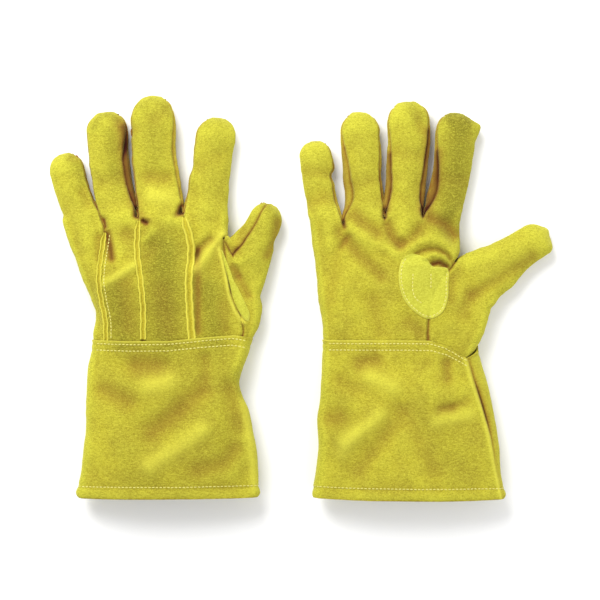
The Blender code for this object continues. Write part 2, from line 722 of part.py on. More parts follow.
def crotch_patch(glove):
    """The lobe of the thumb crotch's reinforcement that faces up: a round-ended leaf over the thumb seam."""
    patch, rows, columns = glove["patch"], PATCH_ROWS, glove["patch"]["columns"]
    low, high = patch["from"], THUMB_SPLIT - 0.02
    width = patch["finger_side"] + patch["thumb_side"]
    centres = []
    for i in range(rows + 1):
        s = i / rows
        swell = 0.35 + 0.65 * math.sqrt(1 - (1 - min(s / 0.55, 1)) ** 2)
        offsets = [(width * j / columns - patch["finger_side"]) * swell for j in range(columns + 1)]
        centres.append([across_thumb_seam(glove, low + (high - low) * s, offset, True) for offset in offsets])
    solid = bmesh.new()
    under, over = (
        [[solid.verts.new(Vector((p[0], p[1], p[2] + lift))) for p in row] for row in centres]
        for lift in (PATCH_LIFT, PATCH_LIFT + PATCH_THICKNESS)
    )
    for i in range(rows):
        for j in range(columns):
            solid.faces.new((under[i][j], under[i + 1][j], under[i + 1][j + 1], under[i][j + 1]))
            solid.faces.new((over[i][j], over[i][j + 1], over[i + 1][j + 1], over[i + 1][j]))
    border = [(0, j) for j in range(columns)] + [(i, columns) for i in range(rows)]
    border += [(rows, j) for j in range(columns, 0, -1)] + [(i, 0) for i in range(rows, 0, -1)]
    for (a, b), (c, d) in zip(border, border[1:] + border[:1]):
        solid.faces.new((under[a][b], under[c][d], over[c][d], over[a][b]))
    return closed_solid(solid)


def make_material(name, colour, roughness):
    material = bpy.data.materials.new(name)
    material.use_nodes = True
    shader = material.node_tree.nodes["Principled BSDF"]
    shader.inputs["Base Color"].default_value = (*colour, 1)
    shader.inputs["Roughness"].default_value = roughness
    shader.inputs["Metallic"].default_value = 0
    return material


def add_object(name, solid, material, parent=None):
    """Makes the node, in metres."""
    for v in solid.verts:
        v.co *= MM
    mesh = bpy.data.meshes.new(name)
    solid.to_mesh(mesh)
    solid.free()
    mesh.materials.append(material)
    mesh.shade_smooth()
    mesh.set_sharp_from_angle(angle=math.radians(35))
    obj = bpy.data.objects.new(name, mesh)
    bpy.context.scene.collection.objects.link(obj)
    if parent:
        obj.parent = parent
        obj.matrix_parent_inverse = parent.matrix_world.inverted()
    return obj


def add_pivot(name, point):
    """An empty on a joint's axis, which the pieces that turn there are parented to."""
    empty = bpy.data.objects.new(name, None)
    empty.location = Vector(point) * MM
    bpy.context.scene.collection.objects.link(empty)
    bpy.context.view_layer.update()
    return empty


def single(_):
    """The thickness of one layer of leather, wherever it is."""
    return LEATHER


def build_stall(glove, stall, materials):
    """The panels of one stall beyond its fold, on an empty at the fold."""
    point, _ = stall.hinge()
    pivot = add_pivot(f"{glove['name']}_{stall.finger}_pivot", point)
    panels = stall_panels(stall)
    for name in panels.names:
        material = materials["strip" if name.endswith("_side_strip") else "leather"]
        add_object(f"{glove['name']}_{name}", thickened(panels, name, single), material, pivot)


def build_gauntlet(glove, materials):
    """The gauntlet: a band sewn to the hand, and the cuff beyond the wrist fold with its double hem."""
    bottom, notch = cuff_bottom(glove), wrist_notch()
    band_rows = [CUFF_EDGE_Y] + [CUFF_EDGE_Y - inset for inset in STITCH_INSETS] + [WRIST_Y + notch]
    band = cuff_panels(glove, band_rows, "cuff_band")
    add_object(f"{glove['name']}_cuff_band", thickened(band, "cuff_band", single), materials["leather"])
    pivot = add_pivot(f"{glove['name']}_wrist_pivot", (wrist_middle(glove), WRIST_Y, CUFF_HEIGHTS[0]))
    hem = bottom + HEM_DEPTH
    rows = [*np.linspace(WRIST_Y - notch, hem + 2, CUFF_ROWS + 1), hem, bottom]
    cuff = cuff_panels(glove, rows, "gauntlet")
    solid = thickened(cuff, "gauntlet", lambda p: 2 * LEATHER if p[1] < hem + 1 else LEATHER)
    add_object(f"{glove['name']}_gauntlet", solid, materials["leather"], pivot)
    add_object(f"{glove['name']}_hem_stitching", hem_stitching(glove), materials["thread"], pivot)


def wrist_middle(glove):
    """x of the middle of the wrist."""
    return (across_at(glove["cuff_left"], WRIST_Y) + across_at(glove["cuff_right"], WRIST_Y)) / 2


def build_glove(glove, materials):
    stalls = {finger: Stall(glove, finger) for finger in FINGERS}
    hand = hand_panels(glove, stalls)
    for name in hand.names:
        add_object(f"{glove['name']}_{name}", thickened(hand, name, single), materials["leather"])
    for stall in stalls.values():
        build_stall(glove, stall, materials)
    for seam, name in ((1, "little_ring"), (2, "ring_middle"), (3, "middle_index")):
        add_object(f"{glove['name']}_welt_{name}", welt(glove, seam), materials["leather"])
    add_object(f"{glove['name']}_crotch_patch", crotch_patch(glove), materials["patch"])
    build_gauntlet(glove, materials)
    add_object(f"{glove['name']}_cuff_stitching", cuff_stitching(glove), materials["thread"])


def centre_pair():
    """Moves everything so that the origin lies under the pair's middle, at the height of its lowest leather."""
    pieces = [obj for obj in bpy.data.objects if obj.type == "MESH"]
    corners = np.array([v.co for obj in pieces for v in obj.data.vertices])
    low, high = corners.min(axis=0), corners.max(axis=0)
    shift = Vector((-(low[0] + high[0]) / 2, -(low[1] + high[1]) / 2, -low[2]))
    for obj in bpy.data.objects:
        if obj.type == "EMPTY":
            obj.location += shift
    bpy.context.view_layer.update()
    for obj in pieces:
        obj.data.transform(Matrix.Translation(shift))
        if obj.parent:
            obj.matrix_parent_inverse = obj.parent.matrix_world.inverted()


def main():
    for obj in list(bpy.data.objects):
        bpy.data.objects.remove(obj)
    materials = {
        "leather": make_material("yellow_suede", (0.58, 0.50, 0.05), 0.95),
        "strip": make_material("side_strip_suede", (0.50, 0.38, 0.05), 0.95),
        "patch": make_material("patch_leather", (0.66, 0.65, 0.08), 0.85),
        "thread": make_material("thread", (0.78, 0.74, 0.30), 0.7),
    }
    for glove in GLOVES:
        build_glove(glove, materials)
    centre_pair()


main()
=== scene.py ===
"""A pair of yellow suede gauntlet gloves lying flat: the left glove back up, the right palm up.

Lengths are in millimetres on the gloves' own drawing (X across the pair, Y to the fingertips, Z up) until a
mesh is made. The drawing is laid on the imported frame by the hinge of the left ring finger.
"""

import json
import math

import bmesh
import bpy
import numpy as np
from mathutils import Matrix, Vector, kdtree
from mathutils.bvhtree import BVHTree

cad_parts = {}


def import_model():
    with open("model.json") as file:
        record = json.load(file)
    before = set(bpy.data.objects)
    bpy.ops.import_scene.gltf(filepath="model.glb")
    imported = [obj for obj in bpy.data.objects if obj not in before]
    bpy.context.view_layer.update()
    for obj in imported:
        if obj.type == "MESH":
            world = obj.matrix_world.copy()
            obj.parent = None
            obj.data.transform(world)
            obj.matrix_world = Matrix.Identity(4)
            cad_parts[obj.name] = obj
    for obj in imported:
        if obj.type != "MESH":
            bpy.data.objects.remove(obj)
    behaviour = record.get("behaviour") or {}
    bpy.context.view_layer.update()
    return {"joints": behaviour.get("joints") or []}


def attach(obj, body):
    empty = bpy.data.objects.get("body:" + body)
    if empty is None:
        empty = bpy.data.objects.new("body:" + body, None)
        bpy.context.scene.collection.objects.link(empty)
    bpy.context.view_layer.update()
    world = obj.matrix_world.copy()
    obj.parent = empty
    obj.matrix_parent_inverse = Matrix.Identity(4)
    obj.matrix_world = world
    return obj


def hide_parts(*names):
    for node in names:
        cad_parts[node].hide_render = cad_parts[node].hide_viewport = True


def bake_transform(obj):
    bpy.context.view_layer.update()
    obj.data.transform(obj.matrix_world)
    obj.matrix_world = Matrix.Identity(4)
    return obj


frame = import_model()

MM = 0.001

# The leather and its sewing. The leather swells outward by FULLNESS.
LEATHER = 1.4
FULLNESS = 1.05
LEAST_HEIGHT = 0.25
INSIDE_LEAST_HEIGHT = 0.2
STITCH_PITCH = 3.1
STITCH_LENGTH = 2.2
STITCH_RADIUS = 0.42

# A stall's section: how high its upper and lower seams stand, as shares of its half thickness, how far
# its lower panel is tucked in, and the power of the place across by which its faces are domed.
UPPER_EDGE = 0.38
LOWER_EDGE = 0.6
TUCK = 1.6
DOME_POWER = 2.2

# A stall's tip: the angle it turns through, the power of the way round by which it closes, and how far
# its seam lies below the middle, as a share of the half thickness.
TIP_SPREAD = math.radians(58)
TIP_POWER = 2.4
TIP_SEAM_DROP = 0.4

# A stall leaves the hand's shape over ROOT_LENGTH and comes down to the floor over SETTLE_LENGTH. Its
# fold is this far from its root, and the bend starts BEND_START from it.
ROOT_LENGTH = 20.0
SETTLE_LENGTH = 22.0
FINGER_HINGE = 14.0
THUMB_HINGE = 14.0
BEND_START = 3.5

# The hand: the crown of its upper and lower strips, and how far its outer sides bulge. Above the thumb
# the bulge comes in over BULGE_EASE.
UPPER_CROWN = 2.6
LOWER_CROWN = 1.8
LEAST_CROWN = 0.5
CROWN_START = 0.55
ROOT_BULGE = 3.5
BULGE_EASE = 12
HAND_LENGTH = 105.0
HAND_END_Y = -42.6

# The hand's end lies inside the gauntlet: clear of its lower leather up to the share LAP_END of the
# hand's length. The gauntlet's top lies over the hand's leather at these rows of it.
LAP_CLEARANCE = 1.3
LAP_END = 0.13
LAP_EASE = 0.2
LAP_ROWS = (0.0, 0.06, 0.12, 0.17)

# The gauntlet: its y from top to hem, its half thickness along it, and the share of that at which its
# faces meet its sides. The hem's corners and lip are rounded: (distance from the hem, depth).
# Its stitch rows lie STITCH_INSETS from its top edge and HEM_DEPTH from its hem.
CUFF_TOP_Y = -32.0
CUFF_SIDE_Y = -32.5
CUFF_BOTTOM_Y = -163.0
CUFF_LENGTH = 130.0
CUFF_FLOOR = 1.5
CUFF_HEIGHTS = (15.5, 15.5, 16.3, 16.3)
CUFF_RIM = 0.42
HEM_CORNER = (6.0, 5.0)
HEM_LIP = (2.0, 1.3)
CUFF_DOME_POWER = 2.6
WRIST_Y = -58.0
HEM_DEPTH = 10.0
STITCH_INSETS = (2.6, 8.0)

# The fineness of the leather's mesh.
STEP = 1.5
RAYS = 10
COLUMNS = 24
SIDE_COLUMNS = 10
TIP_ROWS = 12
CUFF_COLUMNS = 96

FINGERS = ("little", "ring", "middle", "index", "thumb")

# What sets each glove apart, in millimetres on the drawing.
# seams: the lines between the strips of the hand, from the cuff to the finger roots: the outer little
#   side, three between the fingers, the thumb seam and the outer thumb side.
# thumb_split: where along the seams the thumb leaves. thumb_turn: how much of its top is its lower panel.
# lines and halves: each stall's middle line after its root, and its half width along it.
# strips: how far a stall's left and right sides show beyond its seams, from root to tip. Below 0 they are
#   hidden.
# rises and drops: how far each seam's upper and lower leather stand from the middle height, at the cuff,
#   halfway and at the root.
# cuff_left and cuff_right: the gauntlet's sides. cuff_edge and cuff_bottom: its top edge and hem, as y
#   across it.
# cuff_lip: how far its upper leather stops short of its right side, from the top edge to the hem.
# folds: (line, rise, width, shading) of each soft fold or hollow of the side that faces up, with the shade
#   painted in it. A shading below 0 paints a highlight along a ridge instead.
# pulls: (place, move, width) of each local tug on the leather. shade_lines: (line, shading, width) of each
#   line of painted shade.
# tones: (line, darkness, width) of painted shade on fingertips and edges, and of broad darker areas.
LEFT = {
    "name": "left",
    "palm_up": False,
    "seams": [
        [(-162.5, HAND_END_Y), (-167, -31), (-164.8, -14), (-169, 3), (-179, 28), (-187, 47), (-192.5, 62)],
        [(-159.5, HAND_END_Y), (-159.5, -18), (-163, 0), (-165, 18), (-163, 39), (-160.7, 56.6)],
        [(-128.7, HAND_END_Y), (-128.3, -8), (-130.4, 16), (-133.7, 41), (-132.8, 66.4)],
        [(-87.7, HAND_END_Y), (-90.2, -8), (-91, 16), (-89.4, 44), (-96, 69.7)],
        [(-54, HAND_END_Y), (-46.2, -28), (-49, -11), (-57.6, 11), (-63.2, 50), (-63.8, 56), (-63.8, 64)],
        [(-50, HAND_END_Y), (-43.5, -32), (-38, -19), (-36.5, -6), (-38, 4)],
    ],
    "thumb_split": 0.625,
    "thumb_turn": 0.27,
    "lines": {
        "little": [(-187, 87), (-192.8, 107), (-195.3, 121.2)],
        "ring": [(-151, 77), (-155.2, 97), (-159.4, 136), (-160.2, 155.6)],
        "middle": [(-116.3, 87), (-120.1, 116), (-121.2, 141), (-122, 168.2)],
        "index": [(-77, 82), (-74.4, 102), (-70, 130), (-67.8, 150.6)],
        "thumb": [(-43.5, 38), (-36.5, 52), (-29, 66), (-25.5, 78.7)],
    },
    "halves": {
        "little": (15.5, 13.8, 13.4, 13.4),
        "ring": (15, 16, 16, 15.7, 15.7),
        "middle": (18.3, 18.1, 17.4, 17.4, 17.4),
        "index": (16.5, 16.3, 15.3, 15, 15.2),
        "thumb": (23, 20, 17.5, 13.5, 13),
    },
    "strips": {
        "little": ((1.5, 1, 0), (-0.5, -0.5, -0.5)),
        "ring": ((-0.5, -0.5, -0.5), (0.5, 4.5, 5.5, -0.5)),
        "middle": ((-0.5, -0.5, -0.5), (-0.5, 1.2, 2.6, -0.3)),
        "index": ((-0.5, -0.5, -0.5), (1.5, 1, 0)),
        "thumb": ((1, 1, 0), (1, 1, 0)),
    },
    "rises": [(7, 7, 6), (10.5, 11, 8), (14, 14, 8.5), (14, 14, 8.5), (9.5, 9, 6.5), (6.5, 6.5, 6.5)],
    "drops": [(6, 6, 6), (9, 12, 8), (9.8, 12.6, 8.5), (9.8, 12.6, 8.5), (9, 11, 6.5), (6, 6, 6)],
    "middle_height": (12.2, 12.2, 10.5),
    "cuff_left": [(-170.5, -28), (-172, -41), (-174.6, -57), (-175.8, -90), (-176.6, -123), (-184.5, -163)],
    "cuff_right": [(-38.2, -28), (-42.2, -41), (-51, -67), (-42.6, -94), (-36.2, -131), (-33, -163)],
    "cuff_edge": [(0, -33), (0.25, -34), (0.5, -33.6), (0.72, -30.6), (0.9, -28.9), (1, -31)],
    "cuff_bottom": [(0, -163), (0.5, -162.4), (1, -162)],
    "cuff_lip": (0, 0),
    "folds": [
        # the gauntlet
        ([(-133, -54), (-118, -54)], -3.2, 10, 0.5), ([(-160, -74), (-140, -83)], -3.0, 9, 0.4),
        ([(-122, -70), (-108, -66)], 2.2, 8, -0.35), ([(-80, -74), (-98, -90), (-120, -107)], -3.4, 9, 0.5),
        ([(-122, -134), (-100, -121), (-80, -106)], 3.0, 8, -0.35),
        ([(-84, -138), (-62, -132), (-54, -122)], -2.6, 8, 0.35),
        ([(-78, -47), (-77.5, -63)], -2.2, 5, 0.2), ([(-55, -140), (-46, -118)], 1.8, 8, 0),
        ([(-56, -74), (-52, -100)], -1.6, 8, 0.35),
        ([(-46.5, -84), (-40, -120), (-37, -152)], 0.5, 3.5, -0.4),
        ([(-150, -100), (-140, -130)], 1.2, 10, 0),
        # the back of the hand
        ([(-84, 26), (-72, 44), (-64, 53)], 3.2, 5, -0.35),
        ([(-88, 32), (-82, 42), (-74, 49)], -3.2, 4, 0.45),
        ([(-106, 65), (-98, 62)], 2.6, 6, 0), ([(-144, 54)], -2.2, 7, 0.25),
        ([(-158.4, 54), (-155.8, 44), (-154.4, 34)], -3.4, 3.4, 1.2),
        ([(-160, 13), (-148, 20), (-136, 28)], 2.8, 4.5, -0.3), ([(-166, 51), (-165, 34)], -1.6, 4, 0.4),
        ([(-113, 8), (-108, -24)], -1.6, 9, 0.3), ([(-143, 12), (-141, -22)], -1.4, 8, 0.3),
        ([(-84, 41), (-83.6, -26)], -1.4, 3, 0.8),
        ([(-70, 12), (-64, -16)], 1.6, 8, 0), ([(-64, -4), (-62, -24)], -1, 5, 0.3),
        ([(-127, 49), (-120, 57)], 2.0, 3.2, 0), ([(-124, 36), (-118, 44)], -1.4, 5, 0.15),
        # the crotches
        ([(-135, 74), (-135.8, 69)], -5, 2.4, 1.4), ([(-129, 64.8), (-126, 63.4)], -4.6, 2.3, 1.35),
        ([(-127.5, 68.5), (-123, 66.5)], 0.8, 3, 0.45), ([(-132, 69), (-130, 71)], -1, 2.6, 0.5),
        ([(-98, 76), (-98.5, 72)], -5, 2.6, 1.4), ([(-98.5, 73), (-101.5, 70)], -2, 2.4, 0.7),
        ([(-161, 66), (-160, 61)], -3, 2.2, 1.0), ([(-90, 60), (-94, 66)], 1.4, 3, 0),
        # the fingers
        ([(-124, 102), (-112, 101)], -2.6, 6.5, 0.25), ([(-122, 86), (-108, 84)], 2.2, 7, -0.3),
        ([(-144, 126), (-138, 140)], -1.8, 5, 0.4), ([(-150, 142), (-140, 96)], 1.0, 5, 0),
        ([(-152, 100), (-160, 96)], -1.2, 7, 0.1), ([(-180, 90), (-176, 78)], -1.4, 4, 0.2),
        ([(-186, 118)], -1.2, 5, 0.3), ([(-120, 150)], -1.2, 7, 0.15),
        ([(-70, 116), (-82, 110)], -1.2, 7, 0.12),
        ([(-112, 156)], -1.0, 6, 0.15), ([(-150, 147)], -1.2, 6, 0.25),
        # the thumb
        ([(-54, 26), (-51.5, 21)], -2.4, 4, 0.5), ([(-50, 18), (-46, 10), (-43, 4)], -1.8, 3.6, 0.5),
        ([(-19, 64), (-21, 50), (-27, 37)], -1.2, 4, 0.75), ([(-53, 40), (-46, 56)], -1.2, 4.5, 0.3),
        ([(-36, 32), (-34, 14)], 1.4, 6, 0), ([(-52, 30), (-40, 36)], 1.6, 3, 0),
        # the rolled edge of the back along the thumb patch
        ([(-66.5, 42), (-61, 18), (-58.2, 3), (-53.5, -9), (-46, -18.5)], 1.3, 1.5, -0.8),
        ([(-65, 41), (-59.3, 18), (-56.6, 3), (-52, -8.5), (-45.4, -17)], -1.2, 0.9, 0.55),
    ],
    "pulls": [],
    # Painted shade along the ring finger's right side strip.
    "shade_lines": [
        ([(-146.5, 142), (-144, 116), (-139.5, 92), (-136, 78)], 1.1, 5),
    ],
    "tones": [
        ([(-150, 4), (-146, -30)], 1.35, 14), ([(-112, 44), (-110, -30)], 1.45, 17),
        ([(-76, 12), (-70, -30)], 1.2, 13),
        ([(-122, 150), (-121, 118)], 0.75, 12), ([(-68, 140), (-76, 90)], 0.45, 12),
        ([(-154, 140), (-150, 100)], 0.8, 12),
        ([(-132, 160), (-122, 166), (-113, 162), (-108, 153)], 0.7, 4),
        ([(-170, 143), (-165, 152), (-156, 154), (-149, 147)], 0.9, 4),
        ([(-80, 145), (-70, 149), (-60, 146)], 0.35, 4), ([(-190, 118), (-183, 112), (-179, 102)], 0.7, 5),
        ([(-26, 77), (-19, 66)], 0.8, 6),
        ([(-130, -60), (-130, -140)], 0.3, 25), ([(-85, -60), (-85, -140)], 0.3, 25),
        ([(-190, 118), (-176, 70)], 0.3, 12), ([(-34, 60), (-40, 30)], 0.5, 12),
        ([(-60, -130), (-52, -70)], 0.5, 14),
        ([(-140, -150), (-80, -150)], 0.25, 12),
    ],
}
RIGHT = {
    "name": "right",
    "palm_up": True,
    "seams": [
        [(25.8, HAND_END_Y), (22.9, -31), (22.4, -16), (19, 8), (16, 37), (12.5, 64)],
        [(42, HAND_END_Y), (38.5, 8), (35.3, 62.3)],
        [(68, HAND_END_Y), (69, 8), (69.7, 66.4)],
        [(91.5, HAND_END_Y), (96, 8), (100.9, 67.2)],
        [(105, HAND_END_Y), (105, -18), (108.5, 0), (115.6, 16), (127.1, 30.3), (127.5, 45), (127.3, 64)],
        [(134, -50), (139, -42), (144.5, -33), (149.5, -20), (153.5, -6)],
    ],
    "thumb_split": 0.625,
    "thumb_turn": 0.0,
    "lines": {
        "little": [(20, 74), (16.4, 92), (14, 111.5), (13.4, 130.8)],
        "ring": [(52.9, 78), (51.2, 102), (50.2, 131), (49.2, 155)],
        "middle": [(86.6, 87), (89.6, 118), (90.2, 141), (87.4, 164)],
        "index": [(119, 80), (125.4, 107), (128.2, 131), (130, 154.6)],
        "thumb": [(149.8, 18.6), (162.4, 26.2), (178.2, 38), (193.4, 48.4), (204.5, 55)],
    },
    "halves": {
        "little": (12.5, 12.3, 11.9, 12.1, 12.1),
        "ring": (17, 15.8, 15.8, 15.8, 15.8),
        "middle": (16, 16.6, 17.2, 17, 17),
        "index": (15, 15.8, 15.6, 15.6, 15.8),
        "thumb": (23, 22, 20, 17, 14.8, 14),
    },
    "strips": {
        "little": ((1.5, 1, 0), (0.5, 1.8, 0.5, -0.4)),
        "ring": ((4, 8.5, 5.5, -0.4), (0.6, 1.4, 1, -0.4)),
        "middle": ((3.5, 6, 2.5, -0.4), (3, 5, 3.5, 0)),
        "index": ((6, 8.5, 3.5, -0.4), (1.5, 1, 0)),
        "thumb": ((1, 1, 0), (1, 1, 0)),
    },
    "rises": [(7, 7, 6), (11, 12, 8), (13, 13, 8.5), (12.5, 12.5, 8.5), (10.5, 10, 6.5), (7, 7, 6.5)],
    "drops": [(6, 6, 6), (9, 10.6, 8), (10, 11, 8.5), (10, 11, 8.5), (9, 10.5, 6.5), (6, 6, 6)],
    "middle_height": (14, 13.6, 12.6),
    "cuff_left": [(18.8, -28), (18.4, -45), (17, -78), (15.4, -102), (16.4, -123), (10.6, -163)],
    "cuff_right": [(147, -28), (147, -38), (153.8, -64), (160.6, -100), (165.4, -141), (169.5, -163)],
    "cuff_edge": [(0, -33), (0.55, -33), (0.74, -33.4), (0.86, -37), (1, -48)],
    "cuff_bottom": [(0, -162.6), (0.3, -163.8), (0.7, -164.4), (1, -163.6)],
    "cuff_lip": (9, 9, 9, 6.8, 4.6, 2.6, 1.3, 0.3, 0),
    "folds": [
        # the gauntlet
        ([(50, -52), (62, -50)], -3.2, 8, 0.45), ([(34, -66), (46, -72)], -1.8, 8, 0.2),
        ([(25, -97), (32, -96)], -3, 8, 0.45), ([(48, -138), (66, -118), (83, -92)], -2.6, 8, 0.25),
        ([(90, -102), (98, -116), (108, -138)], -1.8, 8, 0.15), ([(36, -116), (64, -95)], 3, 7, -0.3),
        ([(58, -63), (74, -70)], 2.6, 8, -0.3), ([(112, -99), (138, -94)], 2, 6, -0.3),
        ([(116, -89), (124, -88)], -2.2, 4.2, 0.4), ([(124, -88), (136, -83)], -1.4, 3.8, 0.2),
        ([(120, -52), (120.5, -64)], -2.6, 5, 0.4), ([(34, -126), (44, -112)], 1.4, 6, -0.2),
        ([(104, -60), (108, -76)], 1.4, 6, 0),
        # the palm
        ([(46, 69), (54, 61), (62, 54)], -3.4, 6.5, 0.4), ([(72, 62), (77, 50), (83, 45)], -3.4, 5, 0.5),
        ([(83, 45), (92, 50), (99, 60)], -2.2, 5, 0.3), ([(108, 67), (118, 62), (127, 54)], -3.6, 5.5, 0.8),
        ([(32, 56), (46, 40), (66, 20)], -2.6, 6, 0.35), ([(40, 59), (60, 49), (80, 39)], 2.8, 6, 0),
        ([(60, 0), (66, -24)], -1.6, 8, 0.2), ([(33, 5), (31, -20)], 1.4, 7, 0),
        ([(88, -18), (98, -26)], -1.4, 6, 0.3),
        ([(45, -10), (42, 20)], 1.4, 8, 0), ([(30, 40), (26, 0)], -1.2, 5, 0.2),
        # the mouth of the thumb crotch, with the palm's leather gathered over it
        ([(88, 42), (97, 48), (109, 50), (119, 46), (126, 38)], 3.4, 4.4, 0),
        ([(95, 38), (104, 41.5), (113, 42), (121, 37), (125, 30)], -1.6, 1.7, 0.4),
        ([(101, 34), (110, 37), (118, 35), (122.5, 29)], 2.8, 2.3, 0),
        ([(109, 29.8), (114, 31), (120.5, 28)], -5, 2.1, 0.85),
        # the crotches
        ([(36, 64), (37, 60)], -3.5, 2.2, 1.0), ([(69.5, 73), (69.7, 69)], -4.5, 2.4, 1.4),
        ([(101, 74), (101, 70)], -3.5, 2.2, 1.1), ([(40, 52), (34, 44)], -1.6, 3, 0.4),
        # the fingers
        ([(6, 106), (20, 104)], -1.4, 5, 0.1), ([(18, 84), (10, 80)], -1.4, 7, 0.2),
        ([(44, 96), (58, 98)], -1.2, 7, 0.12), ([(80, 122), (98, 118)], -1.2, 7, 0.12),
        ([(118, 100), (134, 98)], -1.4, 7, 0.15), ([(84, 92), (92, 84)], 1.6, 6, 0),
        ([(122, 126), (138, 128)], 1.0, 6, 0),
        ([(96, 152), (99, 140)], -1.0, 4, 0.25), ([(134, 70), (130, 58)], 1.2, 4, 0),
        # the thumb
        ([(140, 30), (160, 38)], 1.8, 6, 0), ([(142, 4), (166, 19), (192, 36)], -1.8, 5.5, 0.3),
        ([(140, 4), (134, -12)], -1.2, 6, 0.2), ([(126, 18), (124, 0)], -1.2, 4, 0.25),
    ],
    "pulls": [
        ((146, 141), (4.6, 3.0), 6), ((139, 133), (-1.5, 0), 4), ((28, 110), (2.4, 0), 5),
        ((26, 103), (-2.2, 0), 5),
        ((205, 59), (3.5, 1.5), 5), ((204, 44), (2.2, -1.5), 5),
    ],
    # Painted shade along the side strips between the fingers.
    "shade_lines": [
        ([(105.5, 140), (104.5, 110), (101.5, 88), (100, 74)], 0.95, 4),
        ([(114.5, 122), (113.5, 108), (111, 92), (105.5, 76)], 1.0, 4),
        ([(72.5, 74), (74, 95), (74, 120)], 0.85, 3), ([(37.5, 68), (37, 95), (36, 125)], 0.65, 3.4),
        ([(66.5, 76), (67, 110)], 0.5, 1.6), ([(27.5, 112), (27, 100)], 0.6, 2.5),
    ],
    "tones": [
        ([(132, 150), (128, 110), (120, 66)], 1.4, 14), ([(92, 160), (98, 152)], 0.9, 6),
        ([(40, 147), (49, 152), (58, 147)], 0.25, 4), ([(126, 151), (136, 147)], 0.9, 7),
        ([(92, 140), (88, 80)], 0.35, 12), ([(50, 130), (54, 80)], 0.3, 12),
        ([(12, 120), (18, 60)], 0.2, 12), ([(60, 10), (50, -25)], 0.1, 20),
        ([(88, 0), (90, -30)], 0.25, 12),
        ([(120, -8), (112, -32)], 0.35, 10), ([(30, -80), (36, -140)], 0.25, 16),
        ([(110, -100), (130, -130)], 0.3, 18),
    ],
}
GLOVES = (LEFT, RIGHT)

# Each stall's half thickness from root to tip.
STALL_HALF = {
    "little": (9.5, 8.6, 8.2), "ring": (9.8, 9.3, 9), "middle": (9.8, 9.5, 9.2), "index": (9.8, 9.2, 9),
    "thumb": (11.5, 10.5, 9.5),
}

# (height, size, seed) of the hide's unevenness.
HIDE_LUMPS = ((0.8, 24.0, 3), (0.5, 11.0, 7), (0.2, 5.0, 11))

# A stitch's profile: (place along it, thickness there), as shares of its length and radius.
STITCH_PROFILE = ((-0.5, 0.35), (-0.42, 0.8), (-0.2, 1.0), (0.2, 1.0), (0.42, 0.8), (0.5, 0.35))
STITCH_SIDES = 6
STITCH_RISE = 0.18
STITCH_SINK = 0.25
STITCH_LEAN = 0.12
BACK_STITCH_OFFSET = 4.3

# A welt's profile: (place across, height) of its two turned-up edges and the groove between them. It runs
# over this span of the hand's length.
WELT_PROFILE = (
    (-2.9, -0.7), (-2.75, 0.5), (-2.4, 1.3), (-1.9, 1.45), (-1.4, 1.1), (-0.9, 0.45), (0, 0.3),
    (0.9, 0.45), (1.4, 1.1), (1.9, 1.45), (2.4, 1.3), (2.75, 0.5), (2.9, -0.7),
)
WELT_WIDTHS = {1: 0.8, 2: 0.9, 3: 1.15}
WELT_SPAN = (0.095, 0.99)
WELT_LIFT = 0.45

# The outline of each crotch patch on the drawing.
PATCHES = {
    "left": [
        (-64.6, 41.5), (-61.5, 35), (-57.6, 25), (-54.4, 16), (-50, 8), (-44.6, -3.6), (-41.4, -11.6),
        (-42.2, -17.4), (-45.6, -16.2), (-50.8, -8.4), (-55.4, 2.6), (-58.2, 14), (-60.8, 24), (-63.4, 34),
    ],
    "right": [
        (80.9, 23.1), (81.7, 9.9), (85.8, -0.8), (94.1, -9.9), (105.4, -15.5), (116.3, -10.7), (121.3, 0),
        (122.1, 13.2), (121.3, 26), (109.5, 27.4), (103.1, 34), (92.4, 38), (84.5, 34.5),
    ],
}
PATCH_SWELL = 1.35

# Each suede: its material's name, its light and dark colours, the strength of its nap, how rough it is and
# the colour of the highlight painted on its ridges and edges. The side strips' colours are the suede's,
# darker and browner, as painted shade.
SUEDES = {
    "suede": ("yellow_suede_nap", (0.47, 0.42, 0.031), (0.36, 0.305, 0.026), 0.62, 0.8, (0.66, 0.61, 0.07)),
    # The side strips: the suede darker and browner, as painted shade.
    "strip": ("shaded_side_strip_suede", (0.42, 0.33, 0.028), (0.32, 0.23, 0.022), 0.6, 0.8),
    "welt": ("welt_suede", (0.47, 0.405, 0.03), (0.38, 0.305, 0.025), 0.45, 0.5, (0.61, 0.55, 0.06)),
    "patch": ("smooth_patch_split", (0.52, 0.515, 0.05), (0.45, 0.44, 0.042), 0.4, 0.45, (0.6, 0.58, 0.085)),
}

# What those colours are multiplied by for the highlight painted on ridges, the shade painted in hollows, the
# darker tones, and in its nap.
RIDGE_HIGHLIGHT_TINT = (1.2, 1.32, 1.5)
HOLLOW_SHADE_TINT = (0.66, 0.55, 0.6)
DARKER_TONE_TINT = (0.42, 0.45, 0.45)
DARK_NAP = (0.52, 0.47, 0.4)
PALE_NAP = (1.25, 1.3, 1.9)
# Brown painted as shade in creases, seams and closed-in places, also used for the raw hem's dark specks.
SHADE_AND_HEM_BROWN = (0.21, 0.075, 0.016)
# The darker brown painted as shade in the deepest creases.
PIT_SHADE_BROWN = (0.045, 0.008, 0.006)
SHEEN = (1.0, 0.98, 0.25, 1)
BRUSH_STRETCH = (1.0, 2.3, 1.6)

# The studio. The camera's picture is PICTURE_WIDTH wide at PICTURE_HEIGHT above the floor. Each softbox
# has a place and a power.
PICTURE_WIDTH = 495 * MM
PICTURE_HEIGHT = 16 * MM
LENS = 100
SENSOR = 36
FLOOR_REACH = 6.0
BACKGROUND = 0.68
SOFTBOX_SIZE = 0.9
SOFTBOXES = {"key_softbox": ((-0.5, 0.9, 0.95), 24.0), "side_softbox": ((1.0, -0.4, 0.9), 6.0)}


# ---------------------------------------------------------------- curves and noise


def smoothstep(x):
    """From 0 to 1 as x does, easing in and out."""
    x = np.clip(x, 0.0, 1.0)
    return x * x * (3 - 2 * x)


